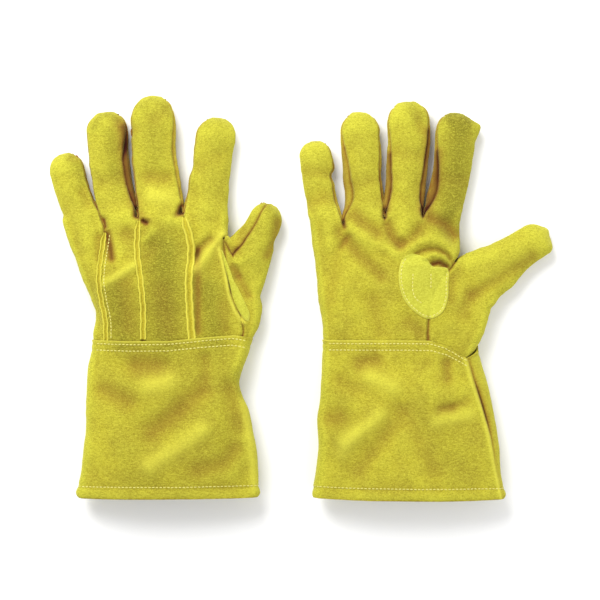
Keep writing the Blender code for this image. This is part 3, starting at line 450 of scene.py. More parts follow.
def smooth(points, t):
    """Points at t (0 to 1) on the smooth curve through these points."""
    p = np.array(points, float).reshape(len(points), -1)
    t = np.clip(np.asarray(t, float), 0, 1)
    gaps = np.linalg.norm(np.diff(p, axis=0), axis=1)
    knots = np.concatenate([[0], np.cumsum(gaps)]) / gaps.sum()
    slopes = np.empty_like(p)
    slopes[1:-1] = (p[2:] - p[:-2]) / (knots[2:] - knots[:-2])[:, None]
    slopes[0] = (p[1] - p[0]) / (knots[1] - knots[0])
    slopes[-1] = (p[-1] - p[-2]) / (knots[-1] - knots[-2])
    i = np.clip(np.searchsorted(knots, t, side="right") - 1, 0, len(p) - 2)
    step = (knots[i + 1] - knots[i])[..., None]
    s = (t[..., None] - knots[i][..., None]) / step
    value = (2 * s**3 - 3 * s**2 + 1) * p[i] + (s**3 - 2 * s**2 + s) * step * slopes[i]
    return value + (3 * s**2 - 2 * s**3) * p[i + 1] + (s**3 - s**2) * step * slopes[i + 1]


def through(values, t):
    """Numbers that run through these equally spaced values."""
    return np.interp(t, np.linspace(0, 1, len(values)), values)


def gathered(count):
    """count + 1 shares from 0 to 1, closer together at both ends."""
    even = np.linspace(0, 1, count + 1)
    return 0.45 * even + 0.55 * (0.5 - 0.5 * np.cos(np.pi * even))


def lumps(points, size, seed):
    """Smooth random heights from -1 to 1, with features of this size."""
    scaled = points / size + seed * 13.7
    cell = np.floor(scaled).astype(np.int64)
    part = smoothstep(scaled - cell)
    total = np.zeros(len(points))
    for corner in np.ndindex(2, 2, 2):
        k = cell + np.array(corner)
        mixed = (k[:, 0] * 374761393 + k[:, 1] * 668265263 + k[:, 2] * 1440662683 + seed * 97) & 0xFFFFFFFF
        mixed = ((mixed ^ (mixed >> 13)) * 1274126177) & 0xFFFFFFFF
        value = ((mixed ^ (mixed >> 16)) & 0xFFFF) / 32767.5 - 1
        total += value * np.prod(np.where(corner, part, 1 - part), axis=1)
    return total


def line_distance(points, line):
    """The distance in plan of each point from a line of points."""
    xy = points[:, :2]
    line = np.array(line, float)
    if len(line) == 1:
        return np.linalg.norm(xy - line[0], axis=1)
    best = np.full(len(xy), np.inf)
    for a, b in zip(line, line[1:]):
        along = np.clip((xy - a) @ (b - a) / ((b - a) @ (b - a)), 0, 1)
        best = np.minimum(best, np.linalg.norm(xy - a - along[:, None] * (b - a), axis=1))
    return best


def bell(distance, width):
    """1 at distance 0, falling off smoothly over this width."""
    return np.exp(-((distance / width) ** 2))


def quarters(ring):
    """Ring values (0 to 4: top, right side, underside, left side) as a side and a share of it."""
    side = np.floor(ring).astype(int) % 4
    return side, ring - np.floor(ring)


def ring_round(top):
    """Ring values all the way round, with these shares of the top and of the underside."""
    side = np.linspace(0, 1, SIDE_COLUMNS + 1)[:-1]
    return np.concatenate([top, 1 + side, 2 + top, 3 + side, [4.0]])


def sideways(line):
    """The direction to the right of a line of points, in plan."""
    along = np.gradient(line[:, :2], axis=0)
    return np.stack([along[:, 1], -along[:, 0]], axis=1) / np.linalg.norm(along, axis=1)[:, None]


# ---------------------------------------------------------------- the shape of the hand and its stalls


class Hand:
    """The upper and lower leather of a glove's hand, in strips between its seams."""

    def __init__(self, glove):
        self.glove = glove
        self.split = glove["thumb_split"]

    def seam(self, i, v):
        """Seam i in plan, at these shares v of the way from the cuff to the finger roots."""
        points = self.glove["seams"][i]
        if i == 5:
            return smooth(points, v / self.split)
        if i < 4:
            return smooth(points, v)
        low = smooth(points[:5], v / self.split)
        high = smooth(points[4:], (v - self.split) / (1 - self.split))
        return np.where((v <= self.split)[:, None], low, high)

    def height(self, i, v, upper):
        """How far seam i's upper or lower leather stands from the middle height."""
        table = self.glove["rises" if upper else "drops"][i]
        if i == 4:
            return table[2] + (table[0] - table[2]) * (1 - smoothstep(v / self.split))
        return through(table, v)

    def middle(self, v):
        return through(self.glove["middle_height"], v)

    def lift(self, v):
        """How far the hand's end is lifted by the gauntlet that laps round it."""
        return (LEATHER + LAP_CLEARANCE + CUFF_FLOOR) * (1 - smoothstep((v - LAP_END) / LAP_EASE))

    def points(self, columns, v, upper):
        """The leather at these columns (0 to 5) and these v, as rows of points."""
        columns, v = np.atleast_1d(columns).astype(float), np.atleast_1d(v).astype(float)
        out = np.empty((len(v), len(columns), 3))
        sign, crown = (1, UPPER_CROWN) if upper else (-1, LOWER_CROWN)
        crown = crown * smoothstep((v - CROWN_START) / (1 - CROWN_START)) + LEAST_CROWN
        for j, column in enumerate(columns):
            i = min(int(column), 4)
            u = column - i
            out[:, j, :2] = (1 - u) * self.seam(i, v) + u * self.seam(i + 1, v)
            height = (1 - u) * self.height(i, v, upper) + u * self.height(i + 1, v, upper)
            height = height + crown * math.sin(math.pi * u) ** 2
            out[:, j, 2] = np.maximum(self.middle(v) + sign * height, self.lift(v))
        return out

    def side(self, i, v, c, outward):
        """The leather from the upper edge (c 0) to the lower one (c 1) at seam i, bulging outward."""
        v, c = np.atleast_1d(v).astype(float), np.atleast_1d(c)
        top, bottom = self.points(i, v, True), self.points(i, v, False)
        out = (1 - c)[None, :, None] * top + c[None, :, None] * bottom
        bulge = np.broadcast_to(np.asarray(outward, float), v.shape) * ROOT_BULGE
        out[..., 0] += bulge[:, None] * np.sin(np.pi * c)[None]
        rounding = 0.5 - 0.5 * np.cos(np.pi * c)
        out[..., 2] = (1 - rounding) * top[..., 2] + rounding * bottom[..., 2]
        return out


def outward_side(finger, left):
    """-1 or 1 where this side of a stall is the hand's outside, and 0 where it faces another finger."""
    if finger == "little" and left:
        return -1
    return 1 if finger in ("index", "thumb") and not left else 0


class Stall:
    """One finger or thumb, from its root to its tip."""

    def __init__(self, hand, finger):
        self.hand, self.glove, self.finger = hand, hand.glove, finger
        self.k = FINGERS.index(finger)
        self.v = np.array([hand.split if finger == "thumb" else 1.0])
        root = (hand.seam(self.k, self.v)[0] + hand.seam(self.k + 1, self.v)[0]) / 2
        self.line = [tuple(root)] + self.glove["lines"][finger]
        steps = np.diff(smooth(self.line, np.linspace(0, 1, 41)), axis=0)
        self.length = np.linalg.norm(steps, axis=1).sum()
        self.tip = self.glove["halves"][finger][-1]
        self.body = self.length - self.tip
        self.left_strip, self.right_strip = self.glove["strips"][finger]

    def place(self, along):
        """The middle line's points and directions at these distances from the root."""
        t = np.atleast_1d(along) / self.length
        here = smooth(self.line, t)
        ahead = smooth(self.line, np.minimum(t + 0.02, 1)) - smooth(self.line, np.clip(t - 0.02, 0, 0.96))
        direction = ahead / np.linalg.norm(ahead, axis=1)[:, None]
        beyond = (t - np.clip(t, 0, 1)) * self.length
        return here + direction * beyond[:, None], direction

    def half_width(self, along):
        return through(self.glove["halves"][self.finger], np.minimum(along / self.body, 1))

    def half_thickness(self, along):
        return through(STALL_HALF[self.finger], np.minimum(along / self.body, 1))

    def height(self, along):
        lying = self.half_thickness(along) + 0.1
        return lying + (self.hand.middle(self.v)[0] - lying) * (1 - smoothstep(along / SETTLE_LENGTH))

    def section(self, ring):
        """(place across, height share, left bulge, right bulge, share of the tuck) round the section."""
        side, c = quarters(ring)
        across = np.select([side == 0, side == 1, side == 2], [2 * c - 1, 1.0, 1 - 2 * c], -1.0)
        dome = 1 - np.abs(across) ** DOME_POWER
        upper = UPPER_EDGE + (1 - UPPER_EDGE) * dome
        lower = -LOWER_EDGE - (1 - LOWER_EDGE) * dome
        down = np.where(side == 1, c, 1 - c)
        wall = (UPPER_EDGE - LOWER_EDGE) / 2 + (UPPER_EDGE + LOWER_EDGE) / 2 * np.cos(np.pi * down)
        rise = np.select([side == 0, side == 2], [upper, lower], wall)
        right = np.where(side == 1, np.sin(np.pi * c), 0)
        left = np.where(side == 3, np.sin(np.pi * c), 0)
        lowness = np.select([side == 0, side == 2], [0, 1], down)
        return across, rise, left, right, lowness

    def root(self, ring):
        """The ring of the hand where the stall starts."""
        out = np.empty((len(ring), 3))
        for j, (s, share) in enumerate(zip(*quarters(ring))):
            if s == 0:
                out[j] = self.hand.points(self.k + share, self.v, True)[0, 0]
            elif s == 2:
                out[j] = self.hand.points(self.k + 1 - share, self.v, False)[0, 0]
            elif s == 1:
                outward = outward_side(self.finger, False)
                out[j] = self.hand.side(self.k + 1, self.v, np.array([share]), outward)[0, 0]
            else:
                outward = outward_side(self.finger, True)
                out[j] = self.hand.side(self.k, self.v, np.array([1 - share]), outward)[0, 0]
        return out

    def lateral(self, section, half, share):
        """How far across the leather lies without its sides' bulge, and the bulge."""
        across, _, left, right, lowness = section
        left_strip, right_strip = through(self.left_strip, share), through(self.right_strip, share)
        inner_left, inner_right = (half - strip for strip in (left_strip, right_strip))
        flat = -inner_left[:, None] + (across[None] + 1) / 2 * (inner_left + inner_right)[:, None]
        flat -= TUCK * (lowness * across)[None]
        return flat, right_strip[:, None] * right[None] - left_strip[:, None] * left[None]

    def body_rows(self, ring, along):
        """The leather from the root, over these distances along the middle line."""
        section = self.section(ring)
        here, direction = self.place(along)
        normal = np.stack([direction[:, 1], -direction[:, 0]], axis=1)
        flat, bulge = self.lateral(section, self.half_width(along), along / self.body)
        plan = here[:, None] + normal[:, None] * (flat + bulge)[..., None]
        z = self.height(along)[:, None] + section[1][None] * self.half_thickness(along)[:, None]
        own = np.concatenate([plan, z[..., None]], axis=2)
        start = self.place(0.0)[0][0]
        slide = np.concatenate([here - start, np.zeros((len(here), 1))], axis=1)
        slid = self.root(ring)[None] + slide[:, None]
        share = smoothstep(along / ROOT_LENGTH)[:, None, None]
        return slid + (own - slid) * share

    def tip_rows(self, ring, q):
        """The leather round the tip, from q 0 to the tip seam at q 1."""
        section = self.section(ring)
        across, rise, *_ = section
        turn = q * TIP_SPREAD
        fade = np.sqrt(np.maximum(1 - q**TIP_POWER, 0))
        flat, bulge = self.lateral(section, np.full(len(q), self.tip, float), np.ones(len(q)))
        sweep = np.sqrt(1 - (across * math.cos(TIP_SPREAD)) ** 2) - math.sin(TIP_SPREAD)
        reach = np.sin(turn)[:, None] + sweep[None] * (q**2)[:, None]
        end, direction = self.place(np.array([self.body]))
        end, direction = end[0], direction[0]
        normal = np.array([direction[1], -direction[0]])
        out = (flat + bulge * fade[:, None]) * np.cos(turn)[:, None]
        plan = end + direction * (self.tip * reach)[..., None] + normal * out[..., None]
        thick = self.half_thickness(self.body)
        z = self.height(self.body) + rise[None] * thick * fade[:, None]
        z -= (TIP_SEAM_DROP * thick * q**2)[:, None]
        return np.concatenate([plan, z[..., None]], axis=2)

    def hinge(self):
        """The point of its fold at middle height, and the direction along the stall."""
        along = THUMB_HINGE if self.finger == "thumb" else FINGER_HINGE
        here, direction = self.place(np.array([along]))
        return np.array([*here[0], self.height(along)]), direction[0]


# ---------------------------------------------------------------- the leather as a mesh


class Sheet:
    """Leather in the making: grids of faces joined at their edges. Each has a panel and a seam group."""

    def __init__(self):
        self.mesh = bmesh.new()
        self.panel_layer = self.mesh.faces.layers.int.new("panel")
        self.group_layer = self.mesh.faces.layers.int.new("group")
        self.panels, self.groups = [], []

    def grid(self, rows, panels, groups):
        """Adds a grid of points. panels and groups name each column of faces."""
        verts = [[self.mesh.verts.new(p) for p in row] for row in rows.tolist()]
        for name, known in [(n, self.panels) for n in panels] + [(n, self.groups) for n in groups]:
            if name not in known:
                known.append(name)
        for a, b in zip(verts, verts[1:]):
            for j in range(len(a) - 1):
                face = self.mesh.faces.new((a[j], a[j + 1], b[j + 1], b[j]))
                face[self.panel_layer] = self.panels.index(panels[j])
                face[self.group_layer] = self.groups.index(groups[j])

    def sewn(self, middle):
        """Joins the grids, turns the faces out from the middle, and keeps everything as arrays."""
        bmesh.ops.remove_doubles(self.mesh, verts=self.mesh.verts[:], dist=0.01)
        bmesh.ops.dissolve_degenerate(self.mesh, edges=self.mesh.edges[:], dist=0.005)
        bmesh.ops.recalc_face_normals(self.mesh, faces=self.mesh.faces[:])
        self.mesh.normal_update()
        out = [f.normal.dot(f.calc_center_median() - Vector(middle)) * f.calc_area() for f in self.mesh.faces]
        if sum(out) < 0:
            bmesh.ops.reverse_faces(self.mesh, faces=self.mesh.faces[:])
        self.mesh.verts.index_update()
        self.points = np.array([v.co for v in self.mesh.verts])
        self.faces = [[v.index for v in f.verts] for f in self.mesh.faces]
        self.panel_of = np.array([f[self.panel_layer] for f in self.mesh.faces])
        self.group_of = np.array([f[self.group_layer] for f in self.mesh.faces])
        self.edges = np.array([[v.index for v in e.verts] for e in self.mesh.edges])
        border, seam = set(), set()
        for e in self.mesh.edges:
            ends = [v.index for v in e.verts]
            if len(e.link_faces) == 1:
                border.update(ends)
            elif len({f[self.group_layer] for f in e.link_faces}) > 1:
                seam.update(ends)
        self.border = np.array(sorted(border), int)
        self.seam = np.array(sorted(seam), int)
        self.mesh.free()
        self.thickness = np.full(len(self.points), LEATHER)
        self.corners = np.array([f[:3] + [f[3] if len(f) > 3 else f[2]] for f in self.faces])
        return self

    def normals(self):
        """Each point's outward direction."""
        p, f = self.points, self.corners
        face_normals = np.cross(p[f[:, 2]] - p[f[:, 0]], p[f[:, 3]] - p[f[:, 1]])
        flat = self.corners[:, 3] == self.corners[:, 2]
        tri = np.cross(p[f[:, 1]] - p[f[:, 0]], p[f[:, 2]] - p[f[:, 0]])
        face_normals[flat] = tri[flat]
        out = np.zeros_like(p)
        for k in range(4):
            np.add.at(out, f[:, k], face_normals)
        return out / np.maximum(np.linalg.norm(out, axis=1), 1e-9)[:, None]

    def relax(self, times, share):
        """Rounds the leather by moving each point towards its neighbours."""
        count = np.zeros(len(self.points))
        np.add.at(count, self.edges.ravel(), 1)
        free = np.ones(len(self.points))
        free[self.border] = 0
        for _ in range(times):
            total = np.zeros_like(self.points)
            np.add.at(total, self.edges[:, 0], self.points[self.edges[:, 1]])
            np.add.at(total, self.edges[:, 1], self.points[self.edges[:, 0]])
            self.points += (total / count[:, None] - self.points) * (share * free)[:, None]

    def seam_distance(self):
        """Each point's distance from the nearest seam."""
        tree = kdtree.KDTree(len(self.seam))
        for i in self.seam:
            tree.insert(self.points[i], int(i))
        tree.balance()
        return np.array([tree.find(p)[2] for p in self.points])

    def tree(self):
        return BVHTree.FromPolygons(self.points.tolist(), self.faces)


def names_round(stall, upper, lower, outer_strip, inner_strip):
    """The names of a stall's columns: its upper panel, right side, lower panel and left side."""
    thumb = stall.finger == "thumb"
    turn = stall.glove["thumb_turn"] if thumb else 0
    shares = (gathered(COLUMNS)[:-1] + gathered(COLUMNS)[1:]) / 2
    top = [lower if share < turn else upper for share in shares]
    half = SIDE_COLUMNS // 2
    split = [upper] * half + [lower] * (SIDE_COLUMNS - half)
    left = split if thumb or outward_side(stall.finger, True) else [outer_strip] * SIDE_COLUMNS
    right = split if thumb or outward_side(stall.finger, False) else [inner_strip] * SIDE_COLUMNS
    if turn:
        left = [lower] * SIDE_COLUMNS
    return top + right + [lower] * COLUMNS + left[::-1]


def add_hand(sheet, glove, hand):
    """The hand's strips and outer sides."""
    rows = max(int(HAND_LENGTH / STEP), 8)
    split_row = round(rows * hand.split)
    below = np.linspace(0, hand.split, split_row + 1)
    v = np.concatenate([below, np.linspace(hand.split, 1, rows - split_row + 1)[1:]])
    for upper in (True, False):
        is_back = upper != glove["palm_up"]
        for k, finger in enumerate(FINGERS):
            thumb = finger == "thumb"
            panel = "thumb_base" if thumb else f"back_{finger}" if is_back else "palm_panel"
            group = f"{finger}_back" if is_back else "thumb_front" if thumb else "palm"
            last = split_row if thumb else rows
            leather = hand.points(k + gathered(COLUMNS), v[: last + 1], upper)
            sheet.grid(leather, [panel] * COLUMNS, [group] * COLUMNS)
    c = np.linspace(0, 1, SIDE_COLUMNS + 1)
    backs = [(j < SIDE_COLUMNS // 2) != glove["palm_up"] for j in range(SIDE_COLUMNS)]
    above = v[split_row:]
    for seam, rows_v, outward, finger in (
        (0, v, -1.0, "little"),
        (4, above, smoothstep(np.arange(len(above)) * STEP / BULGE_EASE), "index"),
        (5, below, 1.0, "thumb"),
    ):
        thumb = finger == "thumb"
        back, palm = ("thumb_base", "thumb_base") if thumb else (f"back_{finger}", "palm_panel")
        panels = [back if is_back else palm for is_back in backs]
        groups = [f"{finger}_back" if is_back else "thumb_front" if thumb else "palm" for is_back in backs]
        sheet.grid(hand.side(seam, rows_v, c, outward), panels, groups)


def add_stall(sheet, stall):
    """One stall's leather, from its root to its tip."""
    ring = ring_round(gathered(COLUMNS)[:-1])
    body = stall.body_rows(ring, np.linspace(0, stall.body, max(int(stall.body / STEP), 6) + 1))
    tip = stall.tip_rows(ring, np.sin(np.linspace(0, math.pi / 2, TIP_ROWS + 1)))
    finger, front = stall.finger, f"{stall.finger}_front"
    faces = (front, f"{finger}_back") if stall.glove["palm_up"] else (f"{finger}_back", front)
    panels = names_round(stall, *faces, f"{finger}_outer_side_strip", f"{finger}_inner_side_strip")
    groups = ["palm" if name == front and finger != "thumb" else name for name in panels]
    sheet.grid(np.concatenate([body, tip[1:]]), panels, groups)


def sculpt(sheet, glove, seams=True):
    """Soft folds, with painted shade and highlights, the unevenness of hide, darker tones and the pinch of
    each seam.
    """
    sheet.relax(7, 0.5)
    normals = sheet.normals()
    facing_up = smoothstep((normals[:, 2] + 0.1) / 0.6)
    p = sheet.points
    for place, move, width in glove["pulls"]:
        p[:, :2] += bell(line_distance(p, [place]), width)[:, None] * np.array(move)
    sheet.crease, sheet.edge, sheet.tone = (np.zeros(len(p)) for _ in range(3))
    # Each fold paints shade along it, or a highlight where its last value is below 0.
    for line, rise, width, shading in glove["folds"]:
        share = bell(line_distance(p, line), width) * facing_up
        p[:, 2] += rise * share
        sheet.crease += max(shading, 0) * share
        sheet.edge += max(-shading, 0) * share
    # Lines of painted shade, mostly along the side strips between the fingers.
    for line, shading, width in glove["shade_lines"]:
        sheet.crease += shading * bell(line_distance(p, line), width)
    bumps = sum(height * lumps(p, size, seed) for height, size, seed in HIDE_LUMPS)
    p += normals * (bumps + FULLNESS)[:, None]
    # Painted shade on the fingertips and along edges, and broad darker areas.
    for line, darkness, width in glove["tones"]:
        sheet.tone += darkness * bell(line_distance(p, line), width)
    if seams:
        pinch_seams(sheet, normals)
    p[:, 2] = np.maximum(p[:, 2], LEAST_HEIGHT)


def pinch_seams(sheet, normals):
    """Draws the leather in along its seams, puckers it beside them, and paints shade in and beside them."""
    distance = sheet.seam_distance()
    pucker = lumps(sheet.points, 4.2, 19) * bell(distance, 5.0)
    pinch = 1.2 * bell(distance, 1.3) - 0.45 * bell(distance - 3.0, 1.6)
    sheet.points -= normals * (pinch - 0.4 * pucker)[:, None]
    thumb = np.array([name.startswith("thumb") for name in sheet.groups])
    depth = np.full(len(sheet.points), 0.4)
    depth[np.unique(sheet.corners[thumb[sheet.group_of]])] = 0.95
    # Painted shade in each seam's groove, deeper at the thumb's seams, and fainter beside it.
    sheet.crease += depth * bell(distance, 0.9) + 0.2 * bell(distance, 3.5)


def glove_leather(glove):
    """The whole leather of a glove without its gauntlet."""
    hand = Hand(glove)
    stalls = {finger: Stall(hand, finger) for finger in FINGERS}
    sheet = Sheet()
    add_hand(sheet, glove, hand)
    for stall in stalls.values():
        add_stall(sheet, stall)
    sheet.sewn(hand.points(2.0, 0.5, True)[0, 0] - np.array([0, 0, 12]))
    sculpt(sheet, glove)
    return hand, stalls, sheet


# ---------------------------------------------------------------- the gauntlet


def across_at(edge, y):
    """x of one of the gauntlet's side outlines at these y."""
    fine = smooth(edge, np.linspace(0, 1, 200))
    return np.interp(-np.asarray(y), -fine[:, 1], fine[:, 0])


def hand_cover(hand, x, down):
    """The height at x of the leather lapping over the hand's end: its upper side (down 0) to its lower (1)."""
    tops, bottoms = [], []
    columns = np.linspace(0, 5, 41)
    for v in LAP_ROWS:
        upper, lower = (hand.points(columns, v, side)[0] for side in (True, False))
        tops.append(np.interp(x, upper[:, 0], upper[:, 2]))
        bottoms.append(np.interp(x, lower[:, 0], lower[:, 2]))
    clear = LEATHER + 1.0
    top, bottom = np.max(tops, axis=0) + clear, np.min(bottoms, axis=0) - clear
    return top + (bottom - top) * (0.5 - 0.5 * np.cos(np.pi * down))


def down_cuff(y):
    """How far down the gauntlet these y lie, from 0 at its top to 1 at its hem."""
    return np.clip((CUFF_TOP_Y - y) / (CUFF_TOP_Y - CUFF_BOTTOM_Y), 0, 1)


def cuff_points(hand, ring, share):
    """The gauntlet's outer face, round the ring and from its top edge (share 0) to its hem (share 1)."""
    glove = hand.glove
    ring, share = np.atleast_1d(ring), np.atleast_1d(share)
    side, c = quarters(ring)
    u = np.select([side == 0, side == 1, side == 2], [c, 1.0, 1 - c], 0.0)
    down = np.select([side == 0, side == 1, side == 2], [0.0, c, 1.0], 1 - c)
    edge = (1 - down) * np.interp(u, *zip(*glove["cuff_edge"])) + down * CUFF_SIDE_Y
    bottom = np.interp(u, *zip(*glove["cuff_bottom"]))
    y = edge + (bottom - edge) * share[:, None]
    left, right = across_at(glove["cuff_left"], y), across_at(glove["cuff_right"], y)
    height = through(CUFF_HEIGHTS, down_cuff(y))
    rim = CUFF_RIM * height
    lip = through(glove["cuff_lip"], down_cuff(y)) * (1 - down) ** 3
    turn = np.where(side == 1, 1, np.where(side == 3, -1, 0)) * np.sin(np.pi * c) * ROOT_BULGE
    x = left + ROOT_BULGE + u * (right - left - 2 * ROOT_BULGE - lip) + turn
    domed = rim + (height - rim) * (1 - np.abs(2 * u - 1) ** CUFF_DOME_POWER)
    wall = rim * np.cos(np.pi * down)
    z = height + CUFF_FLOOR + np.where(side % 2 == 0, domed * (1 - 2 * down), wall)
    snug = 1 - smoothstep((CUFF_TOP_Y - y - 14) / 34)
    cover = hand_cover(hand, x.ravel(), np.broadcast_to(down, x.shape).ravel()).reshape(x.shape)
    z = z + snug * (cover - z)
    return np.stack([x, y, z], axis=-1)


def round_off(sheet, hem):
    """Rounds the hem's corners and lip, and roughens its raw edge. hem is the distance from the edge."""
    p = sheet.points
    corner = 1 - np.sqrt(1 - np.clip(1 - hem / HEM_CORNER[0], 0, 1) ** 2)
    middle = (p[:, 0].max() + p[:, 0].min()) / 2
    across = (p[:, 0] - middle) / (np.ptp(p[:, 0]) / 2)
    p[:, 0] -= HEM_CORNER[1] * corner * np.sign(across) * np.abs(across) ** 8
    lip = 1 - np.sqrt(1 - np.clip(1 - hem / HEM_LIP[0], 0, 1) ** 2)
    p[:, 2] -= HEM_LIP[1] * lip * np.clip((p[:, 2] - CUFF_HEIGHTS[0]) / 6, -1, 1)
    sheet.crease += 0.9 * bell(hem, 1.2) * smoothstep(lumps(p, 1.9, 31) + 0.35)


def open_lip(sheet, glove, normals):
    """Lets the gauntlet's upper leather end in a lip, with the side beyond it lower and in its shade."""
    p = sheet.points
    y = p[:, 1]
    lip = through(glove["cuff_lip"], down_cuff(y))
    beyond = p[:, 0] - across_at(glove["cuff_right"], y) + ROOT_BULGE + lip
    below = smoothstep(beyond / 1.2 + 0.5) * np.exp(-np.maximum(beyond, 0) / 5)
    below *= smoothstep((p[:, 2] - 12) / 6)
    gape = 0.3 + 0.7 * bell(y + 84, 30)
    upper_face = smoothstep(normals[:, 2] / 0.3)
    p[:, 2] -= 4.2 * gape * below
    p[:, 2] += 0.9 * gape * bell(beyond + 1.8, 1.4) * upper_face
    # Painted shade on the lower side beyond the lip, and a painted highlight along the lip.
    sheet.crease += below * gape * (1.2 + 0.7 * bell(beyond - 0.8, 1.4))
    sheet.edge += 0.7 * bell(beyond + 1.4, 1.2) * upper_face


def cuff_leather(glove, hand):
    """The gauntlet's leather, with its stitch rows pressed in and its hem puffed out."""
    sheet = Sheet()
    ring = ring_round(np.linspace(0, 1, CUFF_COLUMNS + 1)[:-1])
    rows = cuff_points(hand, ring, np.linspace(0, 1, int(CUFF_LENGTH / STEP) + 1))
    groups = ["front" if r < 1 or r >= 2 else "side" for r in ring[:-1]]
    sheet.grid(rows, ["gauntlet"] * (len(ring) - 1), groups)
    sheet.sewn((rows[..., 0].mean(), rows[..., 1].mean(), CUFF_HEIGHTS[0]))
    sculpt(sheet, glove, seams=False)
    p, normals = sheet.points, sheet.normals()
    edge_y = np.interp((p[:, 0] - p[:, 0].min()) / np.ptp(p[:, 0]), *zip(*glove["cuff_edge"]))
    depth, hem = edge_y - p[:, 1], p[:, 1] - p[:, 1].min()
    press = bell(depth - STITCH_INSETS[0], 1.1) + bell(depth - STITCH_INSETS[1], 1.2)
    press += 1.3 * bell(hem - HEM_DEPTH, 1.6)
    p -= normals * (0.45 * press - 0.5 * bell(hem - 4.5, 3.5))[:, None]
    round_off(sheet, hem)
    # A paler line along the raw top edge, partly a painted highlight.
    sheet.edge += 0.75 * bell(depth, 1.1)
    if max(glove["cuff_lip"]):
        open_lip(sheet, glove, normals)
    p[:, 2] = np.maximum(p[:, 2], LEAST_HEIGHT)
    sheet.thickness += LEATHER * smoothstep((HEM_DEPTH + 1 - hem) / 1.5)
    return sheet


# ---------------------------------------------------------------- making objects


def drawing_shift():
    """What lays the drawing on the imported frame: the left ring finger's hinge is the same point in both."""
    joint = next(j for j in frame["joints"] if j["name"] == "left_ring_bend")
    drawn, _ = Stall(Hand(LEFT), "ring").hinge()
    shift = np.array(joint["pos_m"]) - drawn * MM
    shift[2] = 0
    return shift


SHIFT = drawing_shift()


def world(point):
    """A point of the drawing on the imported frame, in metres."""
    return tuple(np.asarray(point, float) * MM + SHIFT)


def make_object(name, points, faces, material, smooth_angle=42.0, attributes=None):
    """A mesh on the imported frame. Its materials read its places at rest, and these attributes."""
    places = points * MM + SHIFT
    mesh = bpy.data.meshes.new(name)
    mesh.from_pydata(places.tolist(), [], [list(map(int, f)) for f in faces])
    mesh.validate(clean_customdata=False)
    mesh.shade_smooth()
    mesh.set_sharp_from_angle(angle=math.radians(smooth_angle))
    rest = mesh.attributes.new("rest_place", "FLOAT_VECTOR", "POINT")
    rest.data.foreach_set("vector", places.astype(np.float32).ravel())
    for key, values in (attributes or {}).items():
        layer = mesh.attributes.new(key, "FLOAT", "POINT")
        layer.data.foreach_set("value", np.asarray(values, np.float32))
    mesh.materials.append(material)
    obj = bpy.data.objects.new(name, mesh)
    bpy.context.scene.collection.objects.link(obj)
    return obj


def flipped(faces):
    """The same faces, looking the other way."""
    return [face[::-1] for face in faces]


def tube(rings, wide, first=0):
    """The faces of a closed tube: this many rings, each this many points round, counted from point first."""
    faces = []
    for start in range(first, first + (rings - 1) * wide, wide):
        for j in range(wide):
            a, b = start + j, start + (j + 1) % wide
            faces.append((a, b, b + wide, a + wide))
    ends = [tuple(range(start, start + wide)) for start in (first, first + (rings - 1) * wide)]
    return faces + [ends[0][::-1], ends[1]]


def leather_piece(name, sheet, panel, material):
    """One panel of a sheet as a closed piece of leather with cut edges."""
    chosen = [f for f, k in zip(sheet.faces, sheet.panel_of) if k == sheet.panels.index(panel)]
    used = sorted({v for f in chosen for v in f})
    place = {v: i for i, v in enumerate(used)}
    count = len(used)
    outer = sheet.points[used]
    inner = outer - sheet.final_normals[used] * sheet.thickness[used, None]
    inner[:, 2] = np.maximum(inner[:, 2], INSIDE_LEAST_HEIGHT)
    faces = [[place[v] for v in f] for f in chosen]
    directed = {(f[i], f[(i + 1) % len(f)]) for f in faces for i in range(len(f))}
    rims = [(b, a, a + count, b + count) for a, b in directed if (b, a) not in directed]
    closed = faces + [[v + count for v in reversed(f)] for f in faces] + rims
    fields = {key: np.concatenate([values[used]] * 2) for key, values in sheet.fields.items()}
    return make_object(name, np.concatenate([outer, inner]), closed, material, attributes=fields)


def relief(sheet):
    """How far each point lies below (above 0) or above the leather's general shape, in millimetres."""
    kept = sheet.points.copy()
    sheet.relax(50, 0.5)
    general, sheet.points = sheet.points, kept
    return np.einsum("ij,ij->i", general - kept, sheet.final_normals)


def closed_in(sheet, trees):
    """The share of RAYS directions in which each point soon meets leather."""
    golden = math.pi * (3 - math.sqrt(5))
    rays = []
    for i in range(RAYS):
        z = 0.2 + 0.8 * (i + 0.5) / RAYS
        flat = math.sqrt(1 - z * z)
        rays.append(Vector((flat * math.cos(golden * i), flat * math.sin(golden * i), z)))
    shares = np.zeros(len(sheet.points))
    for i, (p, n) in enumerate(zip(sheet.points.tolist(), sheet.final_normals.tolist())):
        normal = Vector(n)
        start = Vector(p) + normal * 0.4
        turned = Vector((0, 0, 1)).rotation_difference(normal)
        for ray in rays:
            direction = turned @ ray
            shares[i] += any(tree.ray_cast(start, direction, 22.0)[0] is not None for tree in trees)
    return shares / len(rays)


def shade_fields(sheet, trees):
    """The values that the materials read at each point."""
    sheet.final_normals = sheet.normals()
    # How far each point lies below its surroundings: the materials paint shade in hollows and a highlight on
    # ridges.
    hollow = relief(sheet)
    # How closed in each point is: the materials paint brown shade from it.
    hidden = closed_in(sheet, trees)
    sheet.fields = {"crease": sheet.crease, "hidden": hidden, "hollow": hollow}
    sheet.fields.update({"tone": sheet.tone, "edge": sheet.edge})


def plain_fields(edge):
    """The same values for a piece that has only a painted highlight at its edges."""
    zero = np.zeros(len(edge))
    return {"crease": zero, "hidden": zero, "hollow": zero, "edge": edge}


# ---------------------------------------------------------------- thread, welts and patches


def on_surface(tree, points):
    """The nearest places on the leather, and their normals."""
    places, normals = [], []
    for p in points:
        place, normal, _, _ = tree.find_nearest(Vector(p))
        places.append(place)
        normals.append(normal)
    return np.array(places), np.array(normals)


